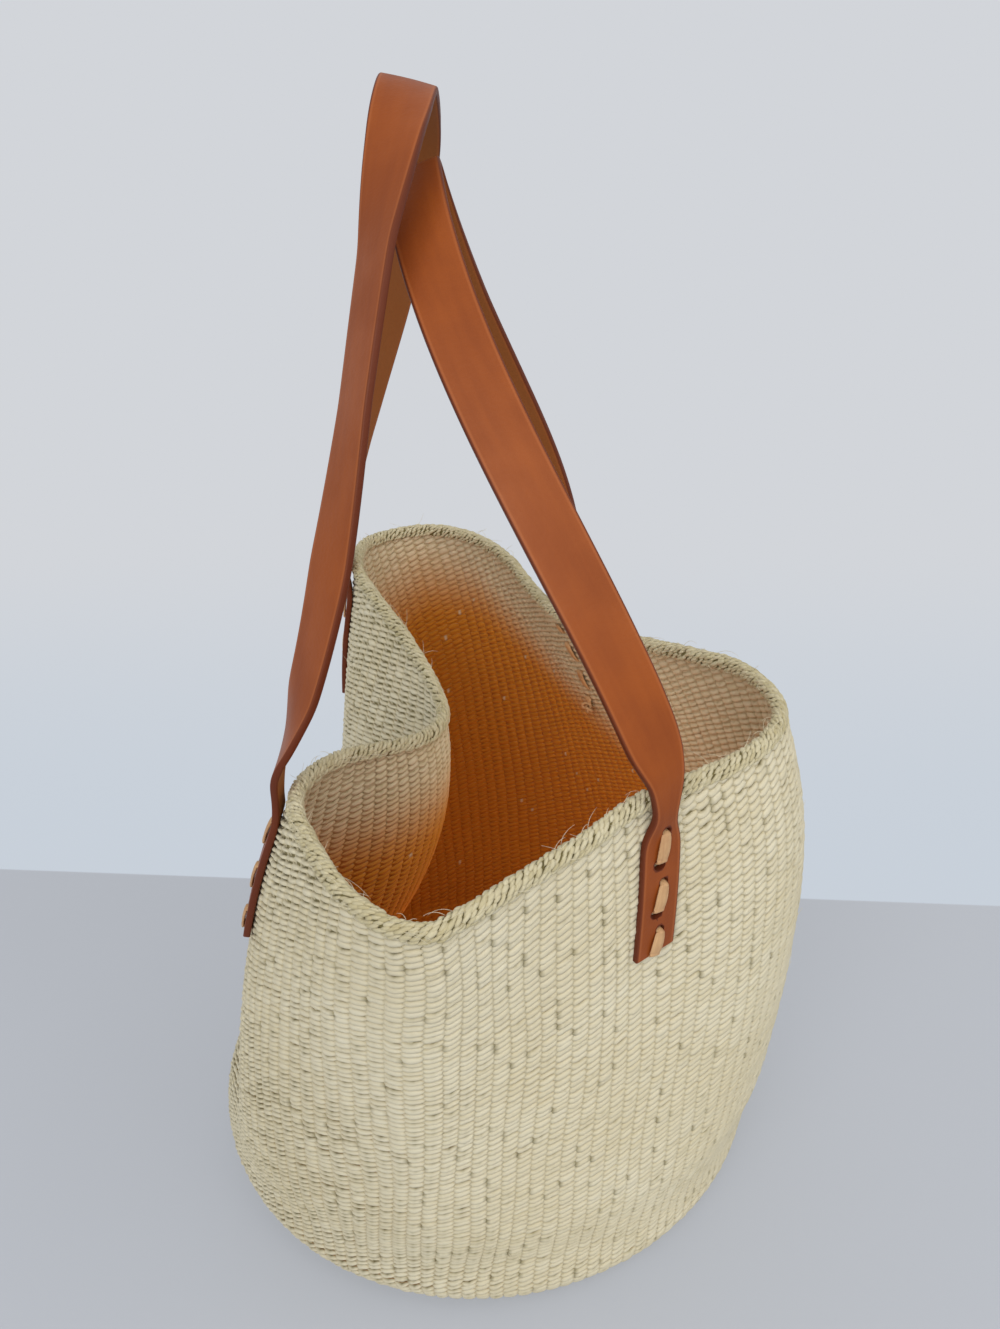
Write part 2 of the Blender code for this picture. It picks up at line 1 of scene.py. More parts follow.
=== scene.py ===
"""Kiondo basket, dressed: twined sisal, a plaited border and two laced leather straps.

The woven body is real twining: two wefts pass in front of and behind each warp and turn round each
other between the warps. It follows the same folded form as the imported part. Each strap is one
leather strip that bends at its two flex lines, with its lace and knots.
"""

from __future__ import annotations

import json
import logging
import math
from dataclasses import dataclass, field
from enum import Enum

import bpy
import numpy as np
from mathutils import Matrix, Vector

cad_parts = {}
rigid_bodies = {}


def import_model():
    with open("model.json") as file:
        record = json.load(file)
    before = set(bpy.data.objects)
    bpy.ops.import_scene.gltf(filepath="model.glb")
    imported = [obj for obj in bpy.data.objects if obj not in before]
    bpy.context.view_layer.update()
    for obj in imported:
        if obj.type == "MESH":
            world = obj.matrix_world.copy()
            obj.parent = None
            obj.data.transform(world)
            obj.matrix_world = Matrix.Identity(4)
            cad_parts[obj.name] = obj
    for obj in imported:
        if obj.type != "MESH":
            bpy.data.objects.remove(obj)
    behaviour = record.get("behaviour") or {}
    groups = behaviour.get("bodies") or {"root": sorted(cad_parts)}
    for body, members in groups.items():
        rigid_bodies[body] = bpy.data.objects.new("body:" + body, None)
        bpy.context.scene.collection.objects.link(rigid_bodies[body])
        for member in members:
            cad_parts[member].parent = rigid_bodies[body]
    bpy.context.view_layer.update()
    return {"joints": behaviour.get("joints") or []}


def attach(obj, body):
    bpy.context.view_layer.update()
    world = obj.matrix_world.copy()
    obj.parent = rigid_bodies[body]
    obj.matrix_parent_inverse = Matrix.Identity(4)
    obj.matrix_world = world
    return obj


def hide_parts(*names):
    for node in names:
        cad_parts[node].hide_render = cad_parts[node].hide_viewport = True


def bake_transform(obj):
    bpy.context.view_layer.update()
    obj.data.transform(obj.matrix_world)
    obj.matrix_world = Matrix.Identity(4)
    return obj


LOG = logging.getLogger("kiondo_basket")
Array = np.ndarray
Colour = tuple[float, float, float]


class Body(Enum):
    """The bodies that a piece can ride on."""

    BASKET = "basket"
    LEFT_HANDLE = "left_handle"
    RIGHT_HANDLE = "right_handle"


class Slot(Enum):
    """The record's material slots."""

    WALL = "sisal"
    BASE = "sisal_base"
    BORDER = "sisal_border"
    STRAP = "strap_leather"
    LACE = "lace_leather"


class StrapEndName(Enum):
    """The four places where a strap is laced to the wall."""

    LEFT_FRONT = "left_front"
    LEFT_REAR = "left_rear"
    RIGHT_FRONT = "right_front"
    RIGHT_REAR = "right_rear"


# The mouth, clockwise from the front dip, seen from above: x and y of the border's centre line as
# shares of the basket radius, how early the warp draws in, and how far the wall swells below it.
MOUTH_SHARES = (
    (-0.044, -1.391, -0.55, 0.00),
    (-0.108, -1.377, -0.60, 0.01),
    (-0.164, -1.339, -0.70, 0.01),
    (-0.250, -1.241, -0.90, 0.03),
    (-0.328, -1.091, -1.10, 0.035),
    (-0.398, -0.910, -1.10, 0.035),
    (-0.400, -0.742, -0.70, 0.03),
    (-0.326, -0.562, 0.20, 0.015),
    (-0.204, -0.402, 0.80, 0.00),
    (-0.103, -0.236, 1.00, 0.00),
    (-0.061, -0.070, 1.00, 0.00),
    (-0.106, 0.092, 0.80, 0.00),
    (-0.195, 0.276, 0.50, 0.05),
    (-0.309, 0.477, 0.00, 0.07),
    (-0.386, 0.682, -0.60, 0.045),
    (-0.380, 0.926, -0.90, 0.03),
    (-0.248, 1.060, -0.80, 0.02),
    (-0.084, 1.070, -0.60, 0.01),
    (0.079, 0.925, -0.55, 0.00),
    (0.192, 0.724, -0.55, 0.00),
    (0.258, 0.524, -0.55, 0.00),
    (0.352, 0.293, -0.55, 0.01),
    (0.472, 0.107, -0.55, 0.02),
    (0.615, -0.058, -0.55, 0.035),
    (0.747, -0.208, -0.55, 0.05),
    (0.843, -0.330, -0.55, 0.065),
    (0.892, -0.490, -0.55, 0.07),
    (0.884, -0.635, -0.55, 0.07),
    (0.813, -0.762, -0.55, 0.065),
    (0.715, -0.855, -0.55, 0.055),
    (0.585, -0.939, -0.55, 0.035),
    (0.451, -1.017, -0.55, 0.02),
    (0.319, -1.143, -0.55, 0.01),
    (0.198, -1.237, -0.55, 0.00),
    (0.085, -1.320, -0.55, 0.00),
    (-0.002, -1.374, -0.55, 0.00),
)
# Where the painted warm shade inside starts, which stands in for the shadow and warm bounced light
# in the basket: a share of the way round the mouth, and a share of the wall's height below the border.
INNER_SHADE_START_SHARES = (
    (0.00, 0.10),
    (0.12, 0.09),
    (0.22, 0.05),
    (0.30, 0.04),
    (0.38, 0.10),
    (0.46, 0.00),
    (0.50, 0.02),
    (0.56, 0.16),
    (0.64, 0.28),
    (0.75, 0.42),
    (0.88, 0.28),
    (1.00, 0.10),
)
# How open the weave is: a share of the way round, and a share from closed to open
OPEN_WEAVE_SHARES = (
    (0.00, 0.55),
    (0.06, 0.78),
    (0.20, 0.80),
    (0.35, 0.70),
    (0.50, 0.60),
    (0.65, 0.60),
    (0.78, 0.30),
    (0.90, 0.26),
    (0.96, 0.36),
    (1.00, 0.55),
)
# Places along a leg at which its twist is given
TWIST_PLACE_SHARES = (0.0, 0.12, 0.30, 0.50, 0.70, 0.86, 1.0)


@dataclass(frozen=True)
class EndPlan:
    """How one strap end and the leg above it lie, all in shares.

    The end stands at round_share of the way round the mouth, and its tab gains lean_share by the
    foot. Its tab and stitches are length_share as long as the sizes say. The leg leans in by
    leg_lean a third and two thirds of the way up, and twists is how far it has turned from its
    tab's direction to its top's.
    """

    round_share: float
    lean_share: float
    length_share: float
    leg_lean: tuple[float, float]
    twists: tuple[float, ...]


END_PLANS = {
    StrapEndName.LEFT_FRONT: EndPlan(
        0.115, 0.0, 1.2, (0.56, 0.67), (0.0, 0.39, 0.48, 0.37, 0.38, 0.60, 1.0)
    ),
    StrapEndName.LEFT_REAR: EndPlan(
        0.380, 0.0, 1.2, (0.10, 0.97), (0.0, 0.32, 0.44, 0.51, 0.52, 0.75, 1.0)
    ),
    StrapEndName.RIGHT_REAR: EndPlan(
        0.620, -0.08, 1.2, (-0.11, 0.78), (0.0, 0.38, 0.44, 0.46, 0.53, 0.75, 1.0)
    ),
    StrapEndName.RIGHT_FRONT: EndPlan(
        0.892, 0.032, 1.0, (0.24, 0.88), (0.0, 0.40, 0.62, 0.73, 0.77, 0.87, 1.0)
    ),
}


@dataclass(frozen=True)
class BasketSizes:
    """Real sizes of the woven body, in metres."""

    radius: float = 0.140
    warp_length: float = 0.273
    thickness: float = 0.005
    corner_radius: float = 0.022
    foot_lap: float = 0.006
    border_width: float = 0.0075
    border_height: float = 0.0085
    mid_lean: float = 0.005
    seat_gap: float = 0.0006
    piece_gap: float = 0.0003
    first_warp_share: float = -0.282
    draw_start_share: float = 0.2
    outline_steps: int = 16
    direction_columns: int = 104

    @property
    def wall_radius(self) -> float:
        """Radius of the wall's middle at its foot."""
        return self.radius - self.thickness / 2

    @property
    def corner_mid_radius(self) -> float:
        """Radius of the rounded edge's middle."""
        return self.corner_radius - self.thickness / 2

    @property
    def foot_radius(self) -> float:
        """Radius of the flat part of the base."""
        return self.wall_radius - self.corner_mid_radius

    @property
    def foot_height(self) -> float:
        """Height at which the straight wall starts."""
        return self.thickness / 2 + self.corner_mid_radius

    @property
    def corner_length(self) -> float:
        """Woven length of the rounded edge."""
        return math.pi / 2 * self.corner_mid_radius

    @property
    def rim_length(self) -> float:
        """Woven length from the base's centre to the border's centre line."""
        return self.foot_radius + self.corner_length + self.warp_length


def smooth_share(value: Array | float) -> Array:
    """Ease a share from 0 to 1 with level ends.

    Args:
        value: The plain share, of any size.

    Returns:
        The eased share.
    """
    value = np.clip(value, 0.0, 1.0)
    return value * value * (3.0 - 2.0 * value)


def unit(vectors: Array) -> Array:
    """Scale vectors to length 1 along their last axis."""
    return vectors / np.linalg.norm(vectors, axis=-1, keepdims=True)


def soft_noise(rng: np.random.Generator, shape: tuple[int, int], spread: tuple[float, float]) -> Array:
    """Random numbers that drift smoothly over a grid and meet at its edges.

    Args:
        rng: The seeded source of random numbers.
        shape: Rows and columns.
        spread: How many rows and columns a bump is wide.

    Returns:
        The grid, with a mean of 0 and a spread of 1.
    """
    noise = np.fft.fft2(rng.standard_normal(shape))
    reach = [np.fft.fftfreq(count) * width for count, width in zip(shape, spread)]
    decay = np.exp(-2 * math.pi**2 * (reach[0][:, None] ** 2 + reach[1][None, :] ** 2))
    noise = np.real(np.fft.ifft2(noise * decay))
    return noise / noise.std()


class WovenForm:
    """The middle surface of the woven body, from the centre of the base to the folded mouth."""

    def __init__(self, sizes: BasketSizes) -> None:
        self.sizes = sizes
        self._mouths: dict[int, tuple[Array, Array, float]] = {}

    def _mouth(self, steps: int) -> tuple[Array, Array, float]:
        """Rows of x, y, draw and swell at even steps round the mouth.

        Args:
            steps: How many rows.

        Returns:
            The rows, the border's height at each, and the mouth's girth.
        """
        if steps in self._mouths:
            return self._mouths[steps]
        points = np.array(MOUTH_SHARES)
        before = np.roll(points, 1, axis=0)
        after = np.roll(points, -1, axis=0)
        beyond = np.roll(points, -2, axis=0)
        curve = []
        for step in range(self.sizes.outline_steps):
            t = step / self.sizes.outline_steps
            curve.append(
                0.5
                * (
                    2 * points
                    + (after - before) * t
                    + (2 * before - 5 * points + 4 * after - beyond) * t**2
                    + (3 * points - before - 3 * after + beyond) * t**3
                )
            )
        closed = np.stack(curve, axis=1).reshape(-1, points.shape[1])
        closed = np.vstack([closed, closed[:1]])
        closed[:, [0, 1, 3]] *= self.sizes.radius
        edges = np.linalg.norm(np.diff(closed[:, :2], axis=0), axis=1)
        along = np.concatenate([[0.0], np.cumsum(edges)])
        places = np.arange(steps) / steps * along[-1]
        rows = np.stack([np.interp(places, along, closed[:, k]) for k in range(4)], axis=1)
        foot = self.sizes.wall_radius * self.directions(steps)
        shift = np.linalg.norm(rows[:, :2] - foot, axis=1)
        height = np.sqrt(self.sizes.warp_length**2 - shift**2)
        self._mouths[steps] = rows, height, along[-1]
        return self._mouths[steps]

    def directions(self, steps: int) -> Array:
        """Unit directions from the centre, clockwise from the first warp."""
        angles = 2 * math.pi * (self.sizes.first_warp_share - np.arange(steps) / steps)
        return np.stack([np.cos(angles), np.sin(angles)], axis=1)

    def wall_ring(self, share: float, steps: int) -> Array:
        """Points round the wall at a share of each warp's height.

        Args:
            share: 0 at the rounded edge and 1 at the border.
            steps: How many points.

        Returns:
            The points.
        """
        sizes = self.sizes
        rows, mouth_height, girth = self._mouth(steps)
        foot = sizes.wall_radius * self.directions(steps)
        start = smooth_share(share / sizes.draw_start_share)
        drawn = (share + rows[:, 2] * share * (1 - share))[:, None] * start
        plan = foot * (1 - drawn) + rows[:, :2] * drawn
        edges = np.linalg.norm(np.roll(plan, -1, axis=0) - plan, axis=1)
        kept = 2 * math.pi * sizes.wall_radius * (1 - share) + girth * share
        middle = plan.mean(axis=0)
        plan = middle + (plan - middle) * kept / edges.sum()
        plan = plan + np.array([sizes.mid_lean, 0.0]) * 4 * share * (1 - share)
        along = np.roll(plan, -1, axis=0) - np.roll(plan, 1, axis=0)
        outward = unit(np.stack([-along[:, 1], along[:, 0]], axis=1))
        # The swell is largest, at its full size, two thirds of the way up
        plan = plan + outward * (rows[:, 3] * 27 / 4 * share**2 * (1 - share))[:, None]
        height = sizes.foot_height + (mouth_height - sizes.foot_height) * share
        return np.column_stack([plan, height])

    def ring(self, length: float, steps: int) -> Array:
        """Points round the body at a woven length from the centre of the base.

        Args:
            length: Metres along the weave.
            steps: How many points.

        Returns:
            The points.
        """
        sizes = self.sizes
        past = length - sizes.foot_radius
        if past >= sizes.corner_length:
            return self.wall_ring((past - sizes.corner_length) / sizes.warp_length, steps)
        turn = max(past, 0.0) / sizes.corner_mid_radius
        radius = min(length, sizes.foot_radius) + sizes.corner_mid_radius * math.sin(turn)
        height = sizes.thickness / 2 + sizes.corner_mid_radius * (1 - math.cos(turn))
        return np.column_stack([radius * self.directions(steps), np.full(steps, height)])

    def surface(self, length: float, steps: int) -> tuple[Array, Array, Array, Array]:
        """The ring at a woven length with its directions.

        Args:
            length: Metres along the weave.
            steps: How many points.

        Returns:
            Points, and unit vectors round the body, along the warps and out of the weave.
        """
        step = self.sizes.thickness / 4
        points = self.ring(length, steps)
        along = unit(np.roll(points, -1, axis=0) - np.roll(points, 1, axis=0))
        up = unit(self.ring(length + step, steps) - self.ring(length - step, steps))
        normal = unit(np.cross(up, along))
        return points, along, up, normal

    def path(self, plan: EndPlan, samples: int = 60, steps: int = 840) -> tuple[Array, Array, Array]:
        """The wall along the path of a tab, which leans off its warp.

        Args:
            plan: Where the path stands and how far it leans.
            samples: How many steps up the wall.
            steps: How many points a ring has.

        Returns:
            Points, outward normals and directions square to the path on the wall.
        """
        reach = 1 / self.sizes.direction_columns
        points, across = [], []
        for step in range(samples + 1):
            share = step / samples
            ring = self.wall_ring(share, steps)
            place = plan.round_share + plan.lean_share * (1 - share)
            points.append(self._at(ring, place))
            across.append(self._at(ring, place + reach) - self._at(ring, place - reach))
        points, across = np.array(points), np.array(across)
        across[:, 2] = 0.0
        up = unit(np.gradient(points, axis=0))
        across = unit(across - up * np.sum(across * up, axis=1)[:, None])
        return points, unit(np.cross(up, across)), across

    @staticmethod
    def _at(ring: Array, share: float) -> Array:
        """The point of a closed ring at a share of the way round."""
        place = share * len(ring)
        low = int(math.floor(place))
        part = place - low
        return ring[low % len(ring)] * (1 - part) + ring[(low + 1) % len(ring)] * part


@dataclass
class MeshParts:
    """Points, faces and values of one mesh while it is put together."""

    points: list[Array] = field(default_factory=list)
    faces: list[Array] = field(default_factory=list)
    uvs: list[Array] = field(default_factory=list)
    values: dict[str, list[Array]] = field(default_factory=dict)
    count: int = 0

    def add_tubes(
        self,
        grid: Array,
        lay: Array,
        closed: bool,
        values: dict[str, Array],
    ) -> None:
        """Add tubes that all have the same number of rings and sides.

        Args:
            grid: Points, with axes tube, ring, side and coordinate.
            lay: Texture coordinates in metres, with axes tube, ring + 1, side + 1 and 2.
            closed: Whether each tube's last ring joins its first.
            values: Named values for the points, each with axes tube, ring and side.
        """
        tubes, rings, sides = grid.shape[:3]
        index = np.arange(tubes * rings * sides).reshape(tubes, rings, sides) + self.count
        last = rings if closed else rings - 1
        here = index[:, :last]
        ahead = np.roll(index, -1, axis=1)[:, :last]
        quads = np.stack(
            [here, ahead, np.roll(ahead, -1, axis=2), np.roll(here, -1, axis=2)], axis=-1
        )
        corners = np.stack(
            [
                lay[:, :last, :sides],
                lay[:, 1 : last + 1, :sides],
                lay[:, 1 : last + 1, 1 : sides + 1],
                lay[:, :last, 1 : sides + 1],
            ],
            axis=-2,
        )
        self.points.append(grid.reshape(-1, 3))
        self.faces.append(quads.reshape(-1, 4))
        self.uvs.append(corners.reshape(-1, 2))
        for name, value in values.items():
            self.values.setdefault(name, []).append(np.broadcast_to(value, grid.shape[:3]).reshape(-1))
        self.count += tubes * rings * sides
        if not closed:
            self._add_caps(index, lay)

    def _add_caps(self, index: Array, lay: Array) -> None:
        """Close both ends of open tubes with flat faces."""
        sides = index.shape[2]
        for ring, order in ((0, slice(None)), (-1, slice(None, None, -1))):
            loop = index[:, ring][:, order]
            spots = lay[:, ring, :sides][:, order]
            for k in range(1, sides - 1, 2):
                picks = [0, k, k + 1, min(k + 2, sides - 1)]
                if picks[2] == picks[3]:
                    picks = picks[:3]
                self.faces.append(loop[:, picks])
                self.uvs.append(spots[:, picks].reshape(-1, 2))

    def build(self, name: str, material: bpy.types.Material) -> bpy.types.Object:
        """Make the object.

        Args:
            name: The piece's name.
            material: Its finish.

        Returns:
            The object, linked to the scene and shaded smooth.
        """
        mesh = bpy.data.meshes.new(name)
        faces = [face for block in self.faces for face in block.tolist()]
        mesh.from_pydata(np.concatenate(self.points).tolist(), [], faces)
        layer = mesh.uv_layers.new(name="lay")
        layer.data.foreach_set("uv", np.concatenate(self.uvs).astype(np.float32).ravel())
        for value_name, blocks in self.values.items():
            attribute = mesh.attributes.new(value_name, "FLOAT", "POINT")
            attribute.data.foreach_set("value", np.concatenate(blocks).astype(np.float32))
        mesh.materials.append(material)
        mesh.shade_smooth()
        obj = bpy.data.objects.new(name, mesh)
        bpy.context.scene.collection.objects.link(obj)
        return obj


def tube_grid(centres: Array, first: Array, second: Array, half: tuple[Array, Array], sides: int) -> Array:
    """Oval rings round a line.

    Args:
        centres: The line's points, with any leading axes.
        first: The direction of the oval's first axis at each point.
        second: The direction of its second axis.
        half: Half the oval's size along each axis, at each point.
        sides: How many points a ring has.

    Returns:
        The points, with axes as the centres, then side and coordinate.
    """
    turn = 2 * math.pi * np.arange(sides) / sides
    reach_first = half[0][..., None, None] * first[..., None, :] * np.cos(turn)[:, None]
    reach_second = half[1][..., None, None] * second[..., None, :] * np.sin(turn)[:, None]
    return centres[..., None, :] + reach_first + reach_second


def tube_lay(lengths: Array, girth: float, sides: int) -> Array:
    """Texture coordinates for tubes: metres along and metres round.

    Args:
        lengths: Distance along at each ring, with axes tube and ring.
        girth: The distance round a tube.
        sides: How many points a ring has.

    Returns:
        The coordinates, with axes tube, ring, side + 1 and 2.
    """
    round_lengths = girth * np.arange(sides + 1) / sides
    shape = (*lengths.shape, sides + 1)
    along = np.broadcast_to(lengths[..., None], shape)
    return np.stack([along, np.broadcast_to(round_lengths, shape)], axis=-1)


class NodeBench:
    """Adds nodes to a tree and joins their sockets."""

    def __init__(self, tree: bpy.types.NodeTree) -> None:
        self.tree = tree

    def node(self, kind: str, **inputs: object) -> bpy.types.Node:
        """Add a node.

        Args:
            kind: Blender's name for the node's type.
            inputs: Values or output sockets for its inputs, by name with _ for a space.

        Returns:
            The node.
        """
        made = self.tree.nodes.new(kind)
        for name, value in inputs.items():
            self.feed(made.inputs[name.replace("_", " ")], value)
        return made

    def feed(self, socket: bpy.types.NodeSocket, value: object) -> None:
        """Join an output to a socket, or set the socket's own value."""
        if isinstance(value, bpy.types.NodeSocket):
            self.tree.links.new(value, socket)
        elif isinstance(value, tuple) and len(value) == 3 and socket.type == "RGBA":
            socket.default_value = (*value, 1.0)
        else:
            socket.default_value = value

    def maths(self, operation: str, *values: object) -> bpy.types.NodeSocket:
        """A sum of one to three values.

        Args:
            operation: Blender's name for it.
            values: Numbers or output sockets.

        Returns:
            The result's socket.
        """
        made = self.tree.nodes.new("ShaderNodeMath")
        made.operation = operation
        for socket, value in zip(made.inputs, values):
            self.feed(socket, value)
        return made.outputs[0]

    def ease(self, value: object, low: float, high: float) -> bpy.types.NodeSocket:
        """Ease a value from 0 at low to 1 at high."""
        made = self.node("ShaderNodeMapRange", Value=value, From_Min=low, From_Max=high)
        made.interpolation_type = "SMOOTHSTEP"
        return made.outputs[0]

    def mix(self, share: object, first: object, second: object) -> bpy.types.NodeSocket:
        """Mix two colours by a share, which is a number or an output socket."""
        made = self.tree.nodes.new("ShaderNodeMix")
        made.data_type = "RGBA"
        self.feed(made.inputs[0], share)
        self.feed(made.inputs[6], first)
        self.feed(made.inputs[7], second)
        return made.outputs[2]

    def value(self, name: str) -> bpy.types.NodeSocket:
        """The mesh's own value of that name."""
        made = self.tree.nodes.new("ShaderNodeAttribute")
        made.attribute_name = name
        return made.outputs["Fac"]

    def lay(self) -> bpy.types.NodeSocket:
        """The texture coordinates in metres that follow the strand or strip."""
        made = self.tree.nodes.new("ShaderNodeUVMap")
        made.uv_map = "lay"
        return made.outputs[0]

    def place(self) -> bpy.types.NodeSocket:
        """The place in the object's own frame, in metres."""
        return self.tree.nodes.new("ShaderNodeTexCoord").outputs["Object"]


def new_group(name: str, inputs: dict[str, tuple[str, object]], outputs: dict[str, str]) -> NodeBench:
    """Start a node group that several finishes share.

    Args:
        name: The group's name.
        inputs: Socket type and default value of each input.
        outputs: Socket type of each output.

    Returns:
        A bench for the group's tree, which holds its Group Input and Group Output.
    """
    tree = bpy.data.node_groups.new(name, "ShaderNodeTree")
    for socket_name, (kind, default) in inputs.items():
        socket = tree.interface.new_socket(name=socket_name, in_out="INPUT", socket_type=kind)
        if default is not None:
            socket.default_value = default
    for socket_name, kind in outputs.items():
        tree.interface.new_socket(name=socket_name, in_out="OUTPUT", socket_type=kind)
    tree.nodes.new("NodeGroupInput")
    tree.nodes.new("NodeGroupOutput")
    return NodeBench(tree)


def fibre_lay_group() -> bpy.types.NodeTree:
    """Fine streaks that run along a spun strand.

    Returns:
        A group with inputs Lay, Length, Width and Twist, in metres and turns, and outputs Streak
        and Height.
    """
    bench = new_group(
        "fibre_lay",
        {
            "Lay": ("NodeSocketVector", None),
            "Length": ("NodeSocketFloat", 0.008),
            "Width": ("NodeSocketFloat", 0.0003),
            "Twist": ("NodeSocketFloat", 0.5),
        },
        {"Streak": "NodeSocketFloat", "Height": "NodeSocketFloat"},
    )
    given = bench.tree.nodes["Group Input"].outputs
    split = bench.node("ShaderNodeSeparateXYZ", Vector=given["Lay"])
    slanted = bench.maths("MULTIPLY_ADD", split.outputs[0], given["Twist"], split.outputs[1])
    vector = bench.node(
        "ShaderNodeCombineXYZ",
        X=bench.maths("DIVIDE", split.outputs[0], given["Length"]),
        Y=bench.maths("DIVIDE", slanted, given["Width"]),
    )
    noise = bench.node("ShaderNodeTexNoise", Vector=vector.outputs[0], Scale=1.0, Detail=3.0)
    streak = bench.ease(noise.outputs[0], 0.32, 0.68)
    given_out = bench.tree.nodes["Group Output"].inputs
    bench.feed(given_out["Streak"], streak)
    bench.feed(given_out["Height"], noise.outputs[0])
    return bench.tree


def drift_group() -> bpy.types.NodeTree:
    """Slow, cloudy change over a surface.

    Returns:
        A group with inputs Place and Size, in metres, and an output Drift from 0 to 1.
    """
    bench = new_group(
        "slow_drift",
        {"Place": ("NodeSocketVector", None), "Size": ("NodeSocketFloat", 0.05)},
        {"Drift": "NodeSocketFloat"},
    )
    given = bench.tree.nodes["Group Input"].outputs
    scale = bench.maths("DIVIDE", 1.0, given["Size"])
    noise = bench.node("ShaderNodeTexNoise", Vector=given["Place"], Scale=scale, Detail=4.0)
    bench.feed(bench.tree.nodes["Group Output"].inputs["Drift"], bench.ease(noise.outputs[0], 0.3, 0.7))
    return bench.tree


def leather_grain_group() -> bpy.types.NodeTree:
    """The pebbled grain, fine pores and creases of leather.

    Returns:
        A group with inputs Lay and Pebble, in metres, and outputs Height and Pore.
    """
    bench = new_group(
        "leather_grain",
        {"Lay": ("NodeSocketVector", None), "Pebble": ("NodeSocketFloat", 0.0012)},
        {"Height": "NodeSocketFloat", "Pore": "NodeSocketFloat"},
    )
    given = bench.tree.nodes["Group Input"].outputs
    scale = bench.maths("DIVIDE", 1.0, given["Pebble"])
    cells = bench.node("ShaderNodeTexVoronoi", Vector=given["Lay"], Scale=scale)
    cells.feature = "SMOOTH_F1"
    fine = bench.node(
        "ShaderNodeTexNoise", Vector=given["Lay"], Scale=bench.maths("MULTIPLY", scale, 3.0), Detail=5.0
    )
    height = bench.maths("MULTIPLY_ADD", fine.outputs[0], 0.6, cells.outputs["Distance"])
    pore = bench.ease(fine.outputs[0], 0.56, 0.7)
    bench.feed(bench.tree.nodes["Group Output"].inputs["Height"], height)
    bench.feed(bench.tree.nodes["Group Output"].inputs["Pore"], pore)
    return bench.tree


@dataclass(frozen=True)
class Finish:
    """What every finish here has: a name and the groups that it draws on."""

    name: str

    def start(self) -> tuple[NodeBench, bpy.types.Material, bpy.types.Node]:
        """Make the material.

        Returns:
            A bench for its tree, the material and its Principled node.
        """
        material = bpy.data.materials.new(self.name)
        material.use_nodes = True
        shader = material.node_tree.nodes["Principled BSDF"]
        return NodeBench(material.node_tree), material, shader

    @staticmethod
    def group(bench: NodeBench, tree_name: str, **inputs: object) -> bpy.types.Node:
        """Place a shared group in the material."""
        made = bench.tree.nodes.new("ShaderNodeGroup")
        made.node_tree = bpy.data.node_groups[tree_name]
        for name, value in inputs.items():
            bench.feed(made.inputs[name], value)
        return made


@dataclass(frozen=True)
class SisalFinish(Finish):
    """Undyed sisal: pale spun strands with fine streaks, with painted shade in the grooves and slits, and painted warm
    shade inside for the shadow and bounced light there.
    """

    pale: Colour = (0.685, 0.625, 0.465)
    straw: Colour = (0.59, 0.51, 0.33)
    inner_shade_colour: Colour = (0.54, 0.205, 0.018)
    groove_shade_colour: Colour = (0.40, 0.34, 0.18)
    slit_shade_colour: Colour = (0.15, 0.12, 0.04)
    groove_shade_share: float = 0.5
    tone_share: float = 0.35
    streak_width: float = 0.00035
    roughness: float = 0.85

    def build(self) -> bpy.types.Material:
        """Make the material.

        Returns:
            The material.
        """
        bench, material, shader = self.start()
        fibre = self.group(bench, "fibre_lay", Lay=bench.lay(), Width=self.streak_width)
        drift = self.group(bench, "slow_drift", Place=bench.place(), Size=0.06)
        tone = bench.maths("MULTIPLY_ADD", bench.value("tone"), self.tone_share, 0.0)
        tone = bench.maths("MULTIPLY_ADD", drift.outputs["Drift"], 0.35, tone)
        tone = bench.maths("MULTIPLY_ADD", fibre.outputs["Streak"], 0.2, tone)
        colour = bench.mix(tone, self.pale, self.straw)
        # Painted shade: the deeper a point lies in the weave's grooves, the darker
        groove_shade_mask = bench.ease(bench.value("groove_shade_mask"), 0.3, 0.95)
        colour = bench.mix(bench.maths("MULTIPLY", groove_shade_mask, self.groove_shade_share), colour, self.groove_shade_colour)
        # Painted shade in the slits between stitches, dark olive
        colour = bench.mix(bench.maths("MULTIPLY", bench.value("slit_shade"), 0.9), colour, self.slit_shade_colour)
        # Painted warm shade inside, for the shadow and warm bounced light in the basket
        colour = bench.mix(bench.value("painted_inner_shade"), colour, self.inner_shade_colour)
        bench.feed(shader.inputs["Base Color"], colour)
        shader.inputs["Roughness"].default_value = self.roughness
        shader.inputs["Specular IOR Level"].default_value = 0.12
        shader.inputs["Sheen Weight"].default_value = 0.04
        shader.inputs["Sheen Roughness"].default_value = 0.6
        bump = bench.node("ShaderNodeBump", Strength=0.5, Distance=0.0002, Height=fibre.outputs["Height"])
        bench.feed(shader.inputs["Normal"], bump.outputs[0])
        return material


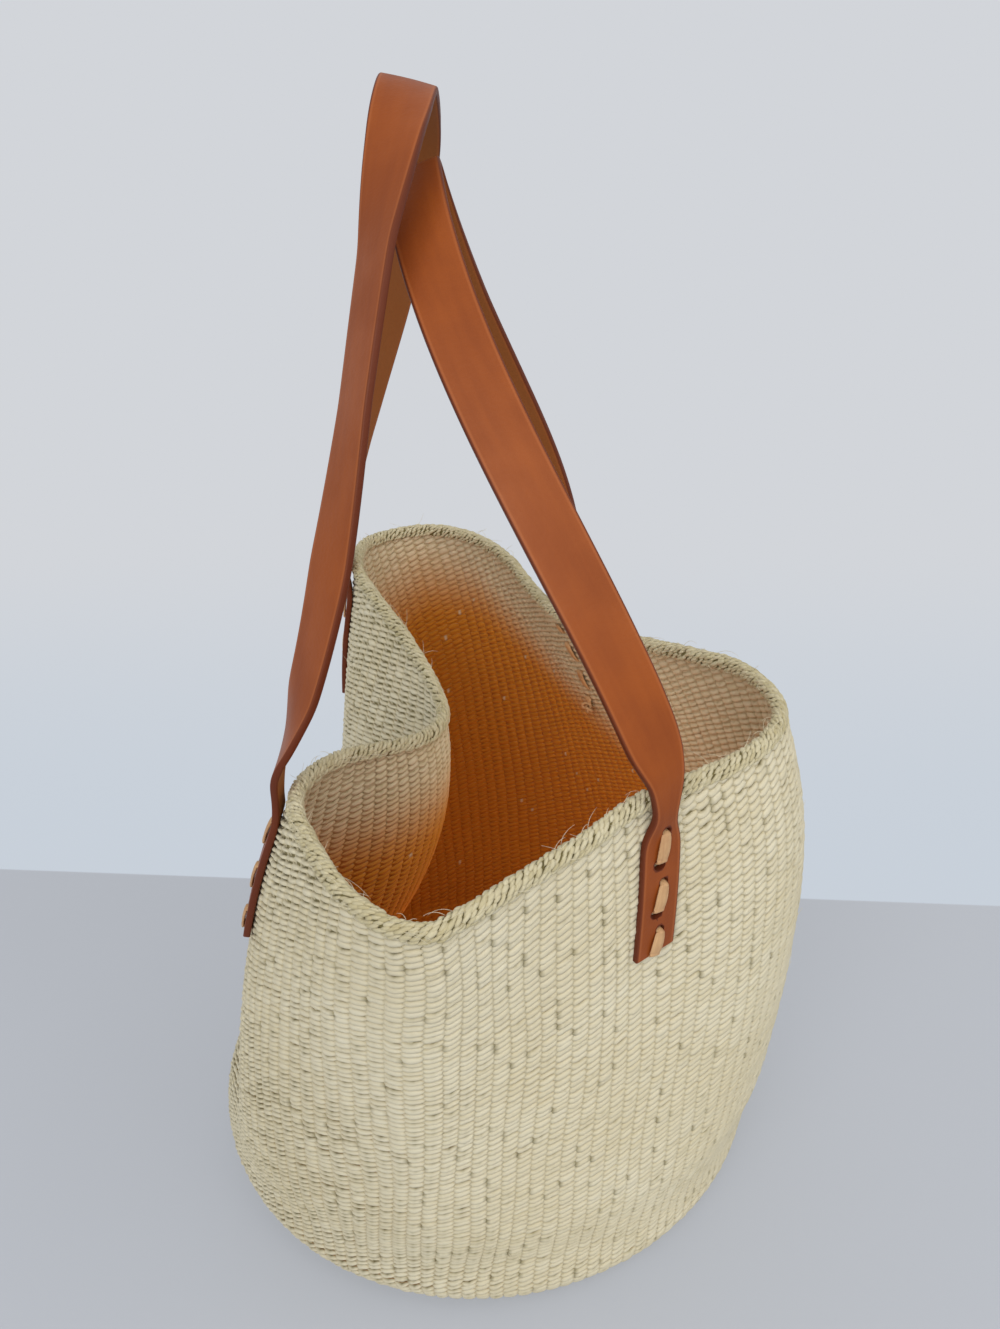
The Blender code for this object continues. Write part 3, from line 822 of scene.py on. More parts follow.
@dataclass(frozen=True)
class StrapLeatherFinish(Finish):
    """Oiled tan leather: a smooth grain side, a rougher flesh side and dark cut edges."""

    grain: Colour = (0.30, 0.068, 0.009)
    grain_dark: Colour = (0.22, 0.045, 0.006)
    flesh: Colour = (0.28, 0.088, 0.018)
    edge: Colour = (0.12, 0.022, 0.006)
    bevel: Colour = (0.40, 0.115, 0.03)
    pebble: float = 0.0011

    def build(self) -> bpy.types.Material:
        """Make the material.

        Returns:
            The material.
        """
        bench, material, shader = self.start()
        grain = self.group(bench, "leather_grain", Lay=bench.lay(), Pebble=self.pebble)
        drift = self.group(bench, "slow_drift", Place=bench.place(), Size=0.03)
        streaks = self.group(bench, "fibre_lay", Lay=bench.lay(), Length=0.05, Width=0.004, Twist=0.0)
        flesh_side = bench.ease(bench.maths("MULTIPLY", bench.value("face_side"), -1.0), 0.3, 0.8)
        cut_edge = bench.ease(bench.maths("ABSOLUTE", bench.value("face_side")), 0.85, 0.25)
        worn = bench.ease(bench.value("from_edge"), 0.0019, 0.0011)
        near_edge = bench.ease(bench.value("from_edge"), 0.0011, 0.0004)
        tone = bench.maths("MULTIPLY_ADD", streaks.outputs["Streak"], 0.3, 0.0)
        tone = bench.maths("MULTIPLY_ADD", drift.outputs["Drift"], 0.6, tone)
        colour = bench.mix(tone, self.grain, self.grain_dark)
        colour = bench.mix(bench.maths("MULTIPLY", grain.outputs["Pore"], 0.25), colour, self.grain_dark)
        colour = bench.mix(flesh_side, colour, self.flesh)
        colour = bench.mix(bench.maths("MULTIPLY", worn, 0.45), colour, self.bevel)
        colour = bench.mix(bench.maths("MULTIPLY", near_edge, 0.7), colour, self.edge)
        colour = bench.mix(cut_edge, colour, self.edge)
        bench.feed(shader.inputs["Base Color"], colour)
        rough = bench.maths("MULTIPLY_ADD", drift.outputs["Drift"], 0.14, 0.4)
        rough = bench.maths("MULTIPLY_ADD", flesh_side, 0.3, rough)
        rough = bench.maths("MULTIPLY_ADD", cut_edge, 0.1, rough)
        bench.feed(shader.inputs["Roughness"], rough)
        shader.inputs["Specular IOR Level"].default_value = 0.32
        shader.inputs["Specular Tint"].default_value = (1.0, 0.84, 0.72, 1.0)
        bump = bench.node("ShaderNodeBump", Strength=0.35, Distance=0.00015, Height=grain.outputs["Height"])
        bench.feed(shader.inputs["Normal"], bump.outputs[0])
        return material


@dataclass(frozen=True)
class LaceLeatherFinish(Finish):
    """Thin untreated leather thong: pale tan, matt, with fibrous edges."""

    tan: Colour = (0.60, 0.36, 0.17)
    brown: Colour = (0.40, 0.20, 0.085)

    def build(self) -> bpy.types.Material:
        """Make the material.

        Returns:
            The material.
        """
        bench, material, shader = self.start()
        grain = self.group(bench, "leather_grain", Lay=bench.lay(), Pebble=0.0007)
        fibre = self.group(bench, "fibre_lay", Lay=bench.lay(), Length=0.006, Width=0.0005, Twist=0.0)
        drift = self.group(bench, "slow_drift", Place=bench.place(), Size=0.008)
        tone = bench.maths("MULTIPLY_ADD", fibre.outputs["Streak"], 0.3, 0.0)
        tone = bench.maths("MULTIPLY_ADD", drift.outputs["Drift"], 0.5, tone)
        colour = bench.mix(tone, self.tan, self.brown)
        bench.feed(shader.inputs["Base Color"], colour)
        shader.inputs["Roughness"].default_value = 0.62
        bump = bench.node("ShaderNodeBump", Strength=0.5, Distance=0.0002, Height=grain.outputs["Height"])
        bench.feed(shader.inputs["Normal"], bump.outputs[0])
        return material


@dataclass(frozen=True)
class FloorFinish(Finish):
    """A smooth pale table top, and past its far edge the even backdrop behind it."""

    colour: Colour = (0.29, 0.30, 0.32)
    glow: Colour = (0.225, 0.235, 0.255)
    backdrop: Colour = (0.645, 0.665, 0.70)
    backdrop_low: Colour = (0.578, 0.632, 0.70)
    edge: float = 0.1724
    edge_slope: float = -0.144

    def build(self) -> bpy.types.Material:
        """Make the material.

        Returns:
            The material.
        """
        bench, material, shader = self.start()
        drift = self.group(bench, "slow_drift", Place=bench.place(), Size=0.4)
        faint = tuple(0.97 * part for part in self.colour)
        near = bench.mix(drift.outputs["Drift"], self.colour, faint)
        across = bench.node("ShaderNodeSeparateXYZ", Vector=bench.place())
        beyond = bench.maths("MULTIPLY_ADD", across.outputs[0], -self.edge_slope, across.outputs[1])
        past = bench.ease(beyond, self.edge, self.edge + 0.002)
        bench.feed(shader.inputs["Base Color"], bench.mix(past, near, (0.0, 0.0, 0.0)))
        behind = bench.mix(bench.ease(beyond, self.edge, 0.9), self.backdrop_low, self.backdrop)
        bench.feed(shader.inputs["Emission Color"], bench.mix(past, self.glow, behind))
        shader.inputs["Emission Strength"].default_value = 1.0
        shader.inputs["Roughness"].default_value = 0.7
        shader.inputs["Coat Weight"].default_value = 0.0
        shader.inputs["Specular IOR Level"].default_value = 0.0
        return material


@dataclass
class Twining:
    """The twined weave of the wall and the base."""

    form: WovenForm
    finish: bpy.types.Material
    base_finish: bpy.types.Material
    warps: int = 140
    ring_steps: int = 10
    picked_steps: tuple[int, ...] = (0, 2, 4, 5, 6, 8)
    sides: int = 8
    row_pitch: float = 0.0035
    reach: float = 0.0010
    inner_share: float = 0.45
    sway: float = 0.0009
    half_height: float = 0.00165
    half_depth: float = 0.0012
    waist: float = 0.36
    front_lean: float = 0.15
    turn_speed: float = 2.2
    warp_half: float = 0.0037
    warp_depth: float = 0.0007
    wander: float = 0.0007
    # Share of turns painted dark, as pinholes
    painted_pinholes: float = 0.07
    # Share of inner stitches painted pale, as painted daylight seen through the weave
    light_specks: float = 0.012
    # The least painted warm shade on every inner face, standing in for the warm light bounced inside
    least_inner_shade: float = 0.14
    band_rows: int = 7
    base_band_rows: int = 6
    seed: int = 11

    def _rows(self, lengths: Array, warps: int, rng: np.random.Generator) -> tuple[Array, Array, dict]:
        """Twined rows, each of two wefts.

        Each weft lies in front of one warp and behind the next, and stays in front a little past
        the turn, so that the stitches overlap and only small slits stay open between them.

        Args:
            lengths: The rows' woven lengths from the base's centre.
            warps: How many warps they cross.
            rng: The seeded source of random numbers.

        Returns:
            The tubes' points, their texture coordinates and their named values.
        """
        picks = (np.arange(warps)[:, None] * self.ring_steps + np.array(self.picked_steps)).ravel()
        steps = len(picks)
        count = picks / self.ring_steps
        stitch = np.round(count).astype(int) % warps
        between = np.floor(count).astype(int) % warps
        rows = len(lengths)
        wander = soft_noise(rng, (rows, warps), (6.0, 1.2))
        drift = soft_noise(rng, (rows, warps), (1.2, 3.0))
        height_change = rng.normal(0.0, 0.12, (rows, 2, warps))
        level_change = rng.normal(0.0, 0.00028, (rows, 2, warps))
        reach_change = rng.normal(0.0, 0.14, (rows, 2, warps))
        tone = np.clip(rng.normal(0.45, 0.28, (rows, 2, warps)), 0.0, 1.0)
        opened = np.interp(np.arange(warps) / warps, *np.array(OPEN_WEAVE_SHARES).T)
        opened = np.clip(opened + 0.2 * soft_noise(rng, (rows, warps), (9.0, 6.0)), 0.0, 1.0)
        waists = rng.normal(self.waist, 0.09, (rows, 2, warps)) + 0.32 * (1 - opened[:, None])
        waists = np.clip(waists, 0.25, 0.8)
        reach_change = reach_change - 0.32 * (1 - opened[:, None])
        # Where the weave opens into slits: they narrow the stitches and also get painted slit shade
        slits = np.clip(opened - 0.25 + rng.normal(0.0, 0.45, (rows, warps)), 0.0, 1.0)
        # A few turns are painted dark, as pinholes
        painted_pinholes = rng.uniform(0.4, 1.0, (rows, warps)) * (rng.uniform(0.0, 1.0, (rows, warps)) < self.painted_pinholes)
        # A few inner stitches are painted pale, as painted light coming through the weave
        light_specks = rng.uniform(0.0, 1.0, (rows, warps)) < self.light_specks
        centres = np.empty((rows, 2, steps, 3))
        ups, normals = np.empty((rows, 2, steps, 3)), np.empty((rows, 2, steps, 3))
        outs, halves, depths, turns = (np.empty((rows, 2, steps)) for _ in range(4))
        bulges, tones = (np.empty((rows, 2, steps)) for _ in range(2))
        full_turn = math.tanh(self.turn_speed * (1 + self.front_lean))
        for row, length in enumerate(lengths):
            ring = self.form.surface(length, warps * self.ring_steps)
            points, along, up, normal = (part[picks] for part in ring)
            moved = np.interp(count, np.arange(warps), wander[row], period=warps) * self.wander
            points = points + along * moved[:, None]
            level = np.interp(count, np.arange(warps), drift[row], period=warps) * self.wander * 0.4
            for strand in range(2):
                waist = waists[row, strand, between]
                phase = math.pi * (count + strand)
                bulge = np.abs(np.cos(phase))
                front = np.tanh(self.turn_speed * (np.cos(phase) + self.front_lean)) / full_turn
                out = np.where(front > 0, front, front * self.inner_share) * self.reach
                out = out * (1 + reach_change[row, strand, stitch] * bulge)
                rise = -self.sway * np.sin(phase) + level
                rise = rise + level_change[row, strand, stitch] * bulge
                centres[row, strand] = points + normal * out[:, None] + up * rise[:, None]
                change = 1.16 - 0.24 * opened[row, stitch] + height_change[row, strand, stitch]
                change = change * (1 - 0.28 * slits[row, stitch] * bulge**4)
                outs[row, strand] = out
                halves[row, strand] = self.half_height * (waist + (1 - waist) * bulge) * change
                depths[row, strand] = self.half_depth * (0.75 + 0.25 * bulge**0.6)
                turns[row, strand] = np.sin(phase)
                bulges[row, strand] = bulge
                tones[row, strand] = tone[row, strand, stitch]
                ups[row, strand], normals[row, strand] = up, normal
        grid = tube_grid(centres, ups, normals, (halves, depths), self.sides)
        turn = 2 * math.pi * np.arange(self.sides) / self.sides
        # How deep each point lies in the wall, which sets its painted groove shade
        side = (outs[..., None] + depths[..., None] * np.sin(turn)) / (self.form.sizes.thickness / 2)
        groove_shade_mask = 1 - np.clip(np.abs(side), 0.0, 1.0)
        # Painted warm shade on the inward faces of the wefts
        painted_inner_shade = self._painted_inner_shade(lengths, count / warps)[:, None, :, None]
        painted_inner_shade = painted_inner_shade * smooth_share(0.55 - 1.6 * side - 0.45 * np.sin(turn))
        # Painted light: pale specks where daylight would shine through the weave
        painted_inner_shade = painted_inner_shade * (1 - 0.8 * light_specks[:, stitch][:, None, :, None] * (bulges**20)[..., None])
        # Painted shade: dark pinholes at the turns, and dark marks along the stitches' top and bottom edges where the
        # rows meet
        facing = np.clip(0.7 * np.sin(turn) + 0.7 * np.abs(np.cos(turn)), 0.0, 1.0)
        slit_shade = painted_pinholes[:, between][:, None, :, None] * (turns**12)[..., None] * facing
        edge = np.abs(np.cos(turn)) ** 3
        slit_shade = slit_shade + slits[:, stitch][:, None, :, None] * (bulges**4)[..., None] * edge
        slit_shade = np.clip(slit_shade, 0.0, 1.0)
        tubes = rows * 2
        girth = math.pi * (self.half_height + self.half_depth)
        pitch = 2 * math.pi * self.form.sizes.radius / self.warps
        spans = np.append(count, warps) * pitch
        lay = tube_lay(spans + rng.uniform(0.0, 1.0, (tubes, 1)), girth, self.sides)
        shape = (tubes, steps, self.sides)
        values = {
            "tone": np.broadcast_to(tones[..., None], (rows, 2, steps, self.sides)).reshape(shape),
            "groove_shade_mask": groove_shade_mask.reshape(shape),
            "painted_inner_shade": painted_inner_shade.reshape(shape),
            "slit_shade": slit_shade.reshape(shape),
        }
        return grid.reshape(tubes, steps, self.sides, 3), lay, values

    def _painted_inner_shade(self, lengths: Array, shares: Array) -> Array:
        """How far the painted warm shade, which stands in for the shadow and warm bounced light inside, has come at
        each place inside.

        Args:
            lengths: Woven lengths from the base's centre.
            shares: Places round the mouth, from 0 to 1.

        Returns:
            The shade from 0 to 1, with axes length and place.
        """
        sizes = self.form.sizes
        places, starts = np.array(INNER_SHADE_START_SHARES).T
        start = np.interp(shares, places, starts)[None, :]
        depth = ((sizes.rim_length - lengths) / sizes.warp_length)[:, None]
        return self.least_inner_shade + (1 - self.least_inner_shade) * smooth_share((depth - start) / 0.22)

    def _warp_tubes(self, starts: Array, warps: int, first: float, last: float, parts: MeshParts) -> None:
        """Add the warps, which run between the wefts.

        Args:
            starts: Which of the warps to make.
            warps: How many there are round the body.
            first: The woven length at which they start.
            last: The woven length at which they end.
            parts: The mesh that they go into.
        """
        rings = max(4, int((last - first) / (2 * self.row_pitch)))
        lengths = np.linspace(first, last, rings)
        lines, outs, acrosses = [], [], []
        for length in lengths:
            points, along, _, normal = self.form.surface(length, warps)
            lines.append(points[starts])
            acrosses.append(along[starts])
            outs.append(normal[starts])
        centres = np.stack(lines, axis=1)
        half = np.full(centres.shape[:2], self.warp_half)
        depth = np.full(centres.shape[:2], self.warp_depth)
        grid = tube_grid(centres, np.stack(outs, axis=1), np.stack(acrosses, axis=1), (depth, half), 6)
        spans = np.broadcast_to(lengths, centres.shape[:2])
        lay = tube_lay(spans, 2 * math.pi * self.warp_half, 6)
        # Painted shade on the warps: their outer faces dark with groove and slit shade, so the gaps read dark from
        # outside; their inner faces take the painted warm shade
        outer = smooth_share(0.5 + np.cos(2 * math.pi * np.arange(6) / 6))
        painted_inner_shade = self._painted_inner_shade(lengths, np.asarray(starts) / warps).T[:, :, None] * (1 - outer)
        values = {
            "tone": np.full(grid.shape[:3], 0.6),
            "groove_shade_mask": np.broadcast_to(0.55 + 0.35 * outer, grid.shape[:3]),
            "painted_inner_shade": painted_inner_shade,
            "slit_shade": np.broadcast_to(0.15 + 0.75 * outer, grid.shape[:3]),
        }
        parts.add_tubes(grid, lay, False, values)

    def build_wall(self) -> list[bpy.types.Object]:
        """Twine the wall, from the base's rim to the border, in bands of rows.

        Returns:
            The bands and the wall's warps.
        """
        sizes = self.form.sizes
        first = sizes.foot_radius - sizes.foot_lap + self.row_pitch / 2
        last = sizes.rim_length - sizes.border_height * 0.36
        lengths = np.linspace(first, last, int(round((last - first) / self.row_pitch)) + 1)
        rng = np.random.default_rng(self.seed)
        grid, lay, values = self._rows(lengths, self.warps, rng)
        made = []
        for band, start in enumerate(range(0, len(lengths), self.band_rows)):
            picked = slice(start * 2, (start + self.band_rows) * 2)
            parts = MeshParts()
            parts.add_tubes(grid[picked], lay[picked], True, {k: v[picked] for k, v in values.items()})
            made.append(self._finish(parts.build(f"wall_rounds_{band + 1:02d}", self.finish), Slot.WALL))
        parts = MeshParts()
        self._warp_tubes(np.arange(self.warps), self.warps, first, sizes.rim_length, parts)
        made.append(self._finish(parts.build("wall_warps", self.finish), Slot.WALL))
        for piece in made:
            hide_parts("woven_wall")
        return made

    def build_base(self) -> list[bpy.types.Object]:
        """Twine the base in rounds, with more warps towards its rim.

        Returns:
            The base's bands.
        """
        sizes = self.form.sizes
        rim = sizes.foot_radius - sizes.foot_lap - self.row_pitch / 2
        counts = ((0.60, self.warps), (0.29, self.warps // 2), (0.13, 34), (0.0, 16))
        rng = np.random.default_rng(self.seed + 1)
        lengths = np.arange(rim, self.row_pitch, -self.row_pitch)
        outer = sizes.radius
        made = []
        for share, warps in counts:
            inner = share * sizes.radius
            rows = lengths[(lengths > inner) & (lengths <= outer)]
            outer = inner
            grid, lay, values = self._rows(rows, warps, rng)
            parts = MeshParts()
            start = max(inner - self.row_pitch, self.row_pitch)
            self._warp_tubes(np.arange(warps), warps, start, rows[0], parts)
            for first in range(0, len(rows), self.base_band_rows):
                picked = slice(first * 2, (first + self.base_band_rows) * 2)
                parts.add_tubes(grid[picked], lay[picked], True, {k: v[picked] for k, v in values.items()})
                name = f"base_rounds_{len(made) + 1:02d}"
                made.append(self._finish(parts.build(name, self.base_finish), Slot.BASE))
                parts = MeshParts()
        for piece in made:
            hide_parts("woven_base")
        return made

    @staticmethod
    def _finish(piece: bpy.types.Object, slot: Slot) -> bpy.types.Object:
        """Let a piece ride on the basket."""
        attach(piece, Body.BASKET.value)
        return piece


@dataclass
class Border:
    """The border: short slanted strands, laid in rows over the bundle of warp ends."""

    form: WovenForm
    finish: bpy.types.Material
    strands: int = 320
    row_turns: tuple[float, ...] = (2.0, 1.45, 0.9, 0.35, -0.2, -0.75, -1.3, -1.9)
    row_span: float = 0.40
    slant: float = 0.0019
    slimness: float = 0.86
    rings: int = 6
    sides: int = 6
    half_width: float = 0.00080
    half_depth: float = 0.00075
    core_steps: int = 560
    seed: int = 23

    def build(self) -> bpy.types.Object:
        """Lay the strands over their core.

        Returns:
            The border.
        """
        sizes = self.form.sizes
        section = self.form.surface(sizes.rim_length, self.core_steps)
        rng = np.random.default_rng(self.seed)
        parts = MeshParts()
        self._add_core(parts, section)
        for row, middle_turn in enumerate(self.row_turns):
            self._add_row(parts, section, middle_turn, row / 2, rng)
        piece = parts.build("border_strands", self.finish)
        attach(piece, Body.BASKET.value)
        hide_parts("rim_border")
        return piece

    def _add_row(
        self, parts: MeshParts, section: tuple[Array, ...], middle_turn: float, offset: float, rng: np.random.Generator
    ) -> None:
        """Add one row of strands.

        Args:
            parts: The mesh that they go into.
            section: The border's centre line with its directions.
            middle_turn: Where the row lies round the border: 0 on top, more towards the outside.
            offset: How far the row is moved along, in strands.
            rng: The seeded source of random numbers.
        """
        sizes = self.form.sizes
        shape = (self.strands, 1)
        t = np.linspace(-1.0, 1.0, self.rings)[None, :]
        pitch = 2 * math.pi * sizes.radius / self.strands
        length = 1 + np.clip(rng.normal(0.0, 0.16, shape), -0.35, 0.45)
        slant = self.slant * length * (1 + rng.normal(0.0, 0.18, shape))
        places = np.arange(self.strands)[:, None] + offset + rng.normal(0.0, 0.13, shape) + slant * t / pitch
        turns = middle_turn + rng.normal(0.0, 0.07, shape) + self.row_span * length * t
        lift = rng.normal(0.0, 0.00014, shape) - 0.0010 * t**4
        points, _, up, normal = (self._along(table, places / self.strands) for table in section)
        half_out = self.slimness * sizes.border_width / 2 - self.half_depth + lift
        half_up = sizes.border_height / 2 - self.half_depth + lift
        away = np.sin(turns)[..., None] * normal * half_out[..., None]
        away = away + np.cos(turns)[..., None] * up * half_up[..., None]
        centres = points + away
        run = unit(np.gradient(centres, axis=1))
        across = unit(np.cross(unit(away), run))
        out = unit(np.cross(run, across))
        widths = self.half_width * (1 - 0.82 * t**4) * (1 + np.clip(rng.normal(0.0, 0.15, shape), -0.35, 0.4))
        depths = self.half_depth * (1 - 0.5 * t**4) * np.ones(shape)
        grid = tube_grid(centres, across, out, (widths, depths), self.sides)
        spans = np.broadcast_to(t * 0.003, centres.shape[:2]) + rng.uniform(0.0, 1.0, shape)
        turn = 2 * math.pi * np.arange(self.sides) / self.sides
        tone = np.clip(rng.normal(0.45, 0.3, (self.strands, 1, 1)), 0.0, 1.0)
        # Painted shade on the strands' undersides and towards their tucked ends
        low = smooth_share(-0.15 - np.sin(turn)) + 0.6 * np.abs(t[..., None]) ** 3
        values = {
            "tone": np.broadcast_to(tone, grid.shape[:3]),
            "groove_shade_mask": np.broadcast_to(np.clip(low, 0.0, 1.0), grid.shape[:3]),
            "painted_inner_shade": np.zeros(grid.shape[:3]),
            "slit_shade": np.zeros(grid.shape[:3]),
        }
        parts.add_tubes(grid, tube_lay(spans, 4 * self.half_width, self.sides), False, values)

    @staticmethod
    def _along(table: Array, shares: Array) -> Array:
        """Rows of a closed table at shares of the way round it."""
        places = np.mod(shares, 1.0) * len(table)
        low = np.floor(places).astype(int)
        part = (places - low)[..., None]
        return table[low % len(table)] * (1 - part) + table[(low + 1) % len(table)] * part

    def _add_core(self, parts: MeshParts, section: tuple[Array, ...]) -> None:
        """Add the bundle of warp ends that the strands lie on."""
        sizes = self.form.sizes
        points, _, up, normal = (table[None] for table in section)
        half_out = np.full(points.shape[:2], self.slimness * sizes.border_width / 2 - self.half_depth * 1.3)
        half_up = np.full(points.shape[:2], sizes.border_height / 2 - self.half_depth * 1.3)
        grid = tube_grid(points, up, normal, (half_up, half_out), self.sides)
        lengths = np.linspace(0.0, 2 * math.pi * sizes.radius, self.core_steps + 1)[None]
        # The core is painted with full groove shade and slit shade, so the gaps between strands read dark
        values = {
            "tone": np.full(grid.shape[:3], 0.8),
            "groove_shade_mask": np.full(grid.shape[:3], 1.0),
            "painted_inner_shade": np.zeros(grid.shape[:3]),
            "slit_shade": np.full(grid.shape[:3], 0.75),
        }
        parts.add_tubes(grid, tube_lay(lengths, 0.02, self.sides), True, values)


@dataclass
class LooseFibres:
    """Single fibres that have come out of the weave, on the border and on the wall."""

    form: WovenForm
    finish: bpy.types.Material
    on_border: int = 230
    on_wall: int = 150
    rings: int = 10
    radius: float = 0.0001
    seed: int = 37

    def build(self) -> list[bpy.types.Object]:
        """Make the fibres.

        Returns:
            Those of the border and those of the wall.
        """
        rng = np.random.default_rng(self.seed)
        sizes = self.form.sizes
        border = [self._border_fibre(rng) for _ in range(self.on_border)]
        lengths = rng.uniform(sizes.foot_radius + sizes.corner_length, sizes.rim_length - 0.01, self.on_wall)
        wall = [self._wall_fibre(length, rng) for length in lengths]
        pieces = []
        for name, slot, node, lines in (
            ("border_fibres", Slot.BORDER, "rim_border", border),
            ("wall_fibres", Slot.WALL, "woven_wall", wall),
        ):
            piece = self._tubes(np.array(lines)).build(name, self.finish)
            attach(piece, Body.BASKET.value)
            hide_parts(node)
            pieces.append(piece)
        return pieces

    def _border_fibre(self, rng: np.random.Generator) -> Array:
        """A line out of a random place on the border."""
        sizes = self.form.sizes
        points, along, up, normal = self.form.surface(sizes.rim_length, 840)
        spot = int(rng.integers(len(points)))
        turn = rng.uniform(-1.6, 1.4)
        out = math.sin(turn) * normal[spot] * sizes.border_width / 2
        rise = math.cos(turn) * up[spot] * sizes.border_height / 2
        start = points[spot] + (out + rise) * 0.8
        return self._curl(start, unit(out + rise), along[spot], rng.uniform(0.003, 0.011), 0.8, rng)

    def _wall_fibre(self, length: float, rng: np.random.Generator) -> Array:
        """A line that lies close on the outside of the wall."""
        points, along, up, normal = self.form.surface(length, 840)
        spot = int(rng.integers(len(points)))
        start = points[spot] + normal[spot] * 0.0019
        side = unit(along[spot] + up[spot] * rng.normal(0.0, 0.8))
        return self._curl(start, normal[spot], side, rng.uniform(0.003, 0.010), 0.3, rng)

    def _curl(
        self, start: Array, away: Array, side: Array, length: float, lift: float, rng: np.random.Generator
    ) -> Array:
        """A bent line.

        Args:
            start: Where it starts.
            away: The direction off the surface.
            side: A direction on the surface.
            length: About how long it is.
            lift: How far it stands off, as a share of its length.
            rng: The seeded source of random numbers.

        Returns:
            The line's points.
        """
        t = np.linspace(0.0, 1.0, self.rings)[:, None]
        side = side * rng.choice([-1.0, 1.0])
        middle = start + (away * rng.uniform(0.4, 1.1) * lift + side * rng.uniform(0.3, 0.9)) * length * 0.6
        bend = away * rng.uniform(-0.6, 0.7) * lift + side * rng.uniform(0.4, 1.2) + rng.normal(0, 0.3, 3) * lift
        end = middle + bend * length * 0.6
        return start * (1 - t) ** 2 + middle * 2 * t * (1 - t) + end * t**2

    def _tubes(self, centres: Array) -> MeshParts:
        """Thin tapering tubes round lines."""
        run = unit(np.gradient(centres, axis=1))
        first = unit(np.cross(run, np.array([0.31, 0.57, 0.76])))
        second = unit(np.cross(run, first))
        t = np.linspace(0.0, 1.0, self.rings)
        taper = np.broadcast_to(self.radius * (1 - 0.6 * t), centres.shape[:2])
        grid = tube_grid(centres, first, second, (taper, taper), 5)
        lay = tube_lay(np.broadcast_to(t * 0.01, centres.shape[:2]), 0.001, 5)
        blank = np.zeros(grid.shape[:3])
        values = {"tone": blank + 0.3, "groove_shade_mask": blank, "painted_inner_shade": blank, "slit_shade": blank}
        parts = MeshParts()
        parts.add_tubes(grid[:, :, ::-1], lay, False, values)
        return parts


@dataclass(frozen=True)
class StrapSizes:
    """Real sizes of the straps and laces, in metres."""

    width: float = 0.021
    thickness: float = 0.0028
    wall_crest: float = 0.0017
    edge_round: float = 0.0008
    tab_width: float = 0.0165
    neck_width: float = 0.009
    neck_drop: float = 0.006
    tab_flare: float = 0.009
    taper_length: float = 0.0315
    tab_slant: float = 0.0042
    lace_width: float = 0.0052
    lace_thickness: float = 0.0013
    lace_aside: float = 0.0011
    first_hole_drop: float = 0.012
    stitch_length: float = 0.012
    stitch_gap: float = 0.0085
    tab_margin: float = 0.0095
    lace_tail: float = 0.0045
    knot_radius: float = 0.0028
    stitches: int = 3

    @property
    def tab_length(self) -> float:
        """How far below the border a tab is cut off, before its own length share."""
        return self.first_hole_drop + (self.stitches - 1) * (self.stitch_length + self.stitch_gap) + self.tab_margin


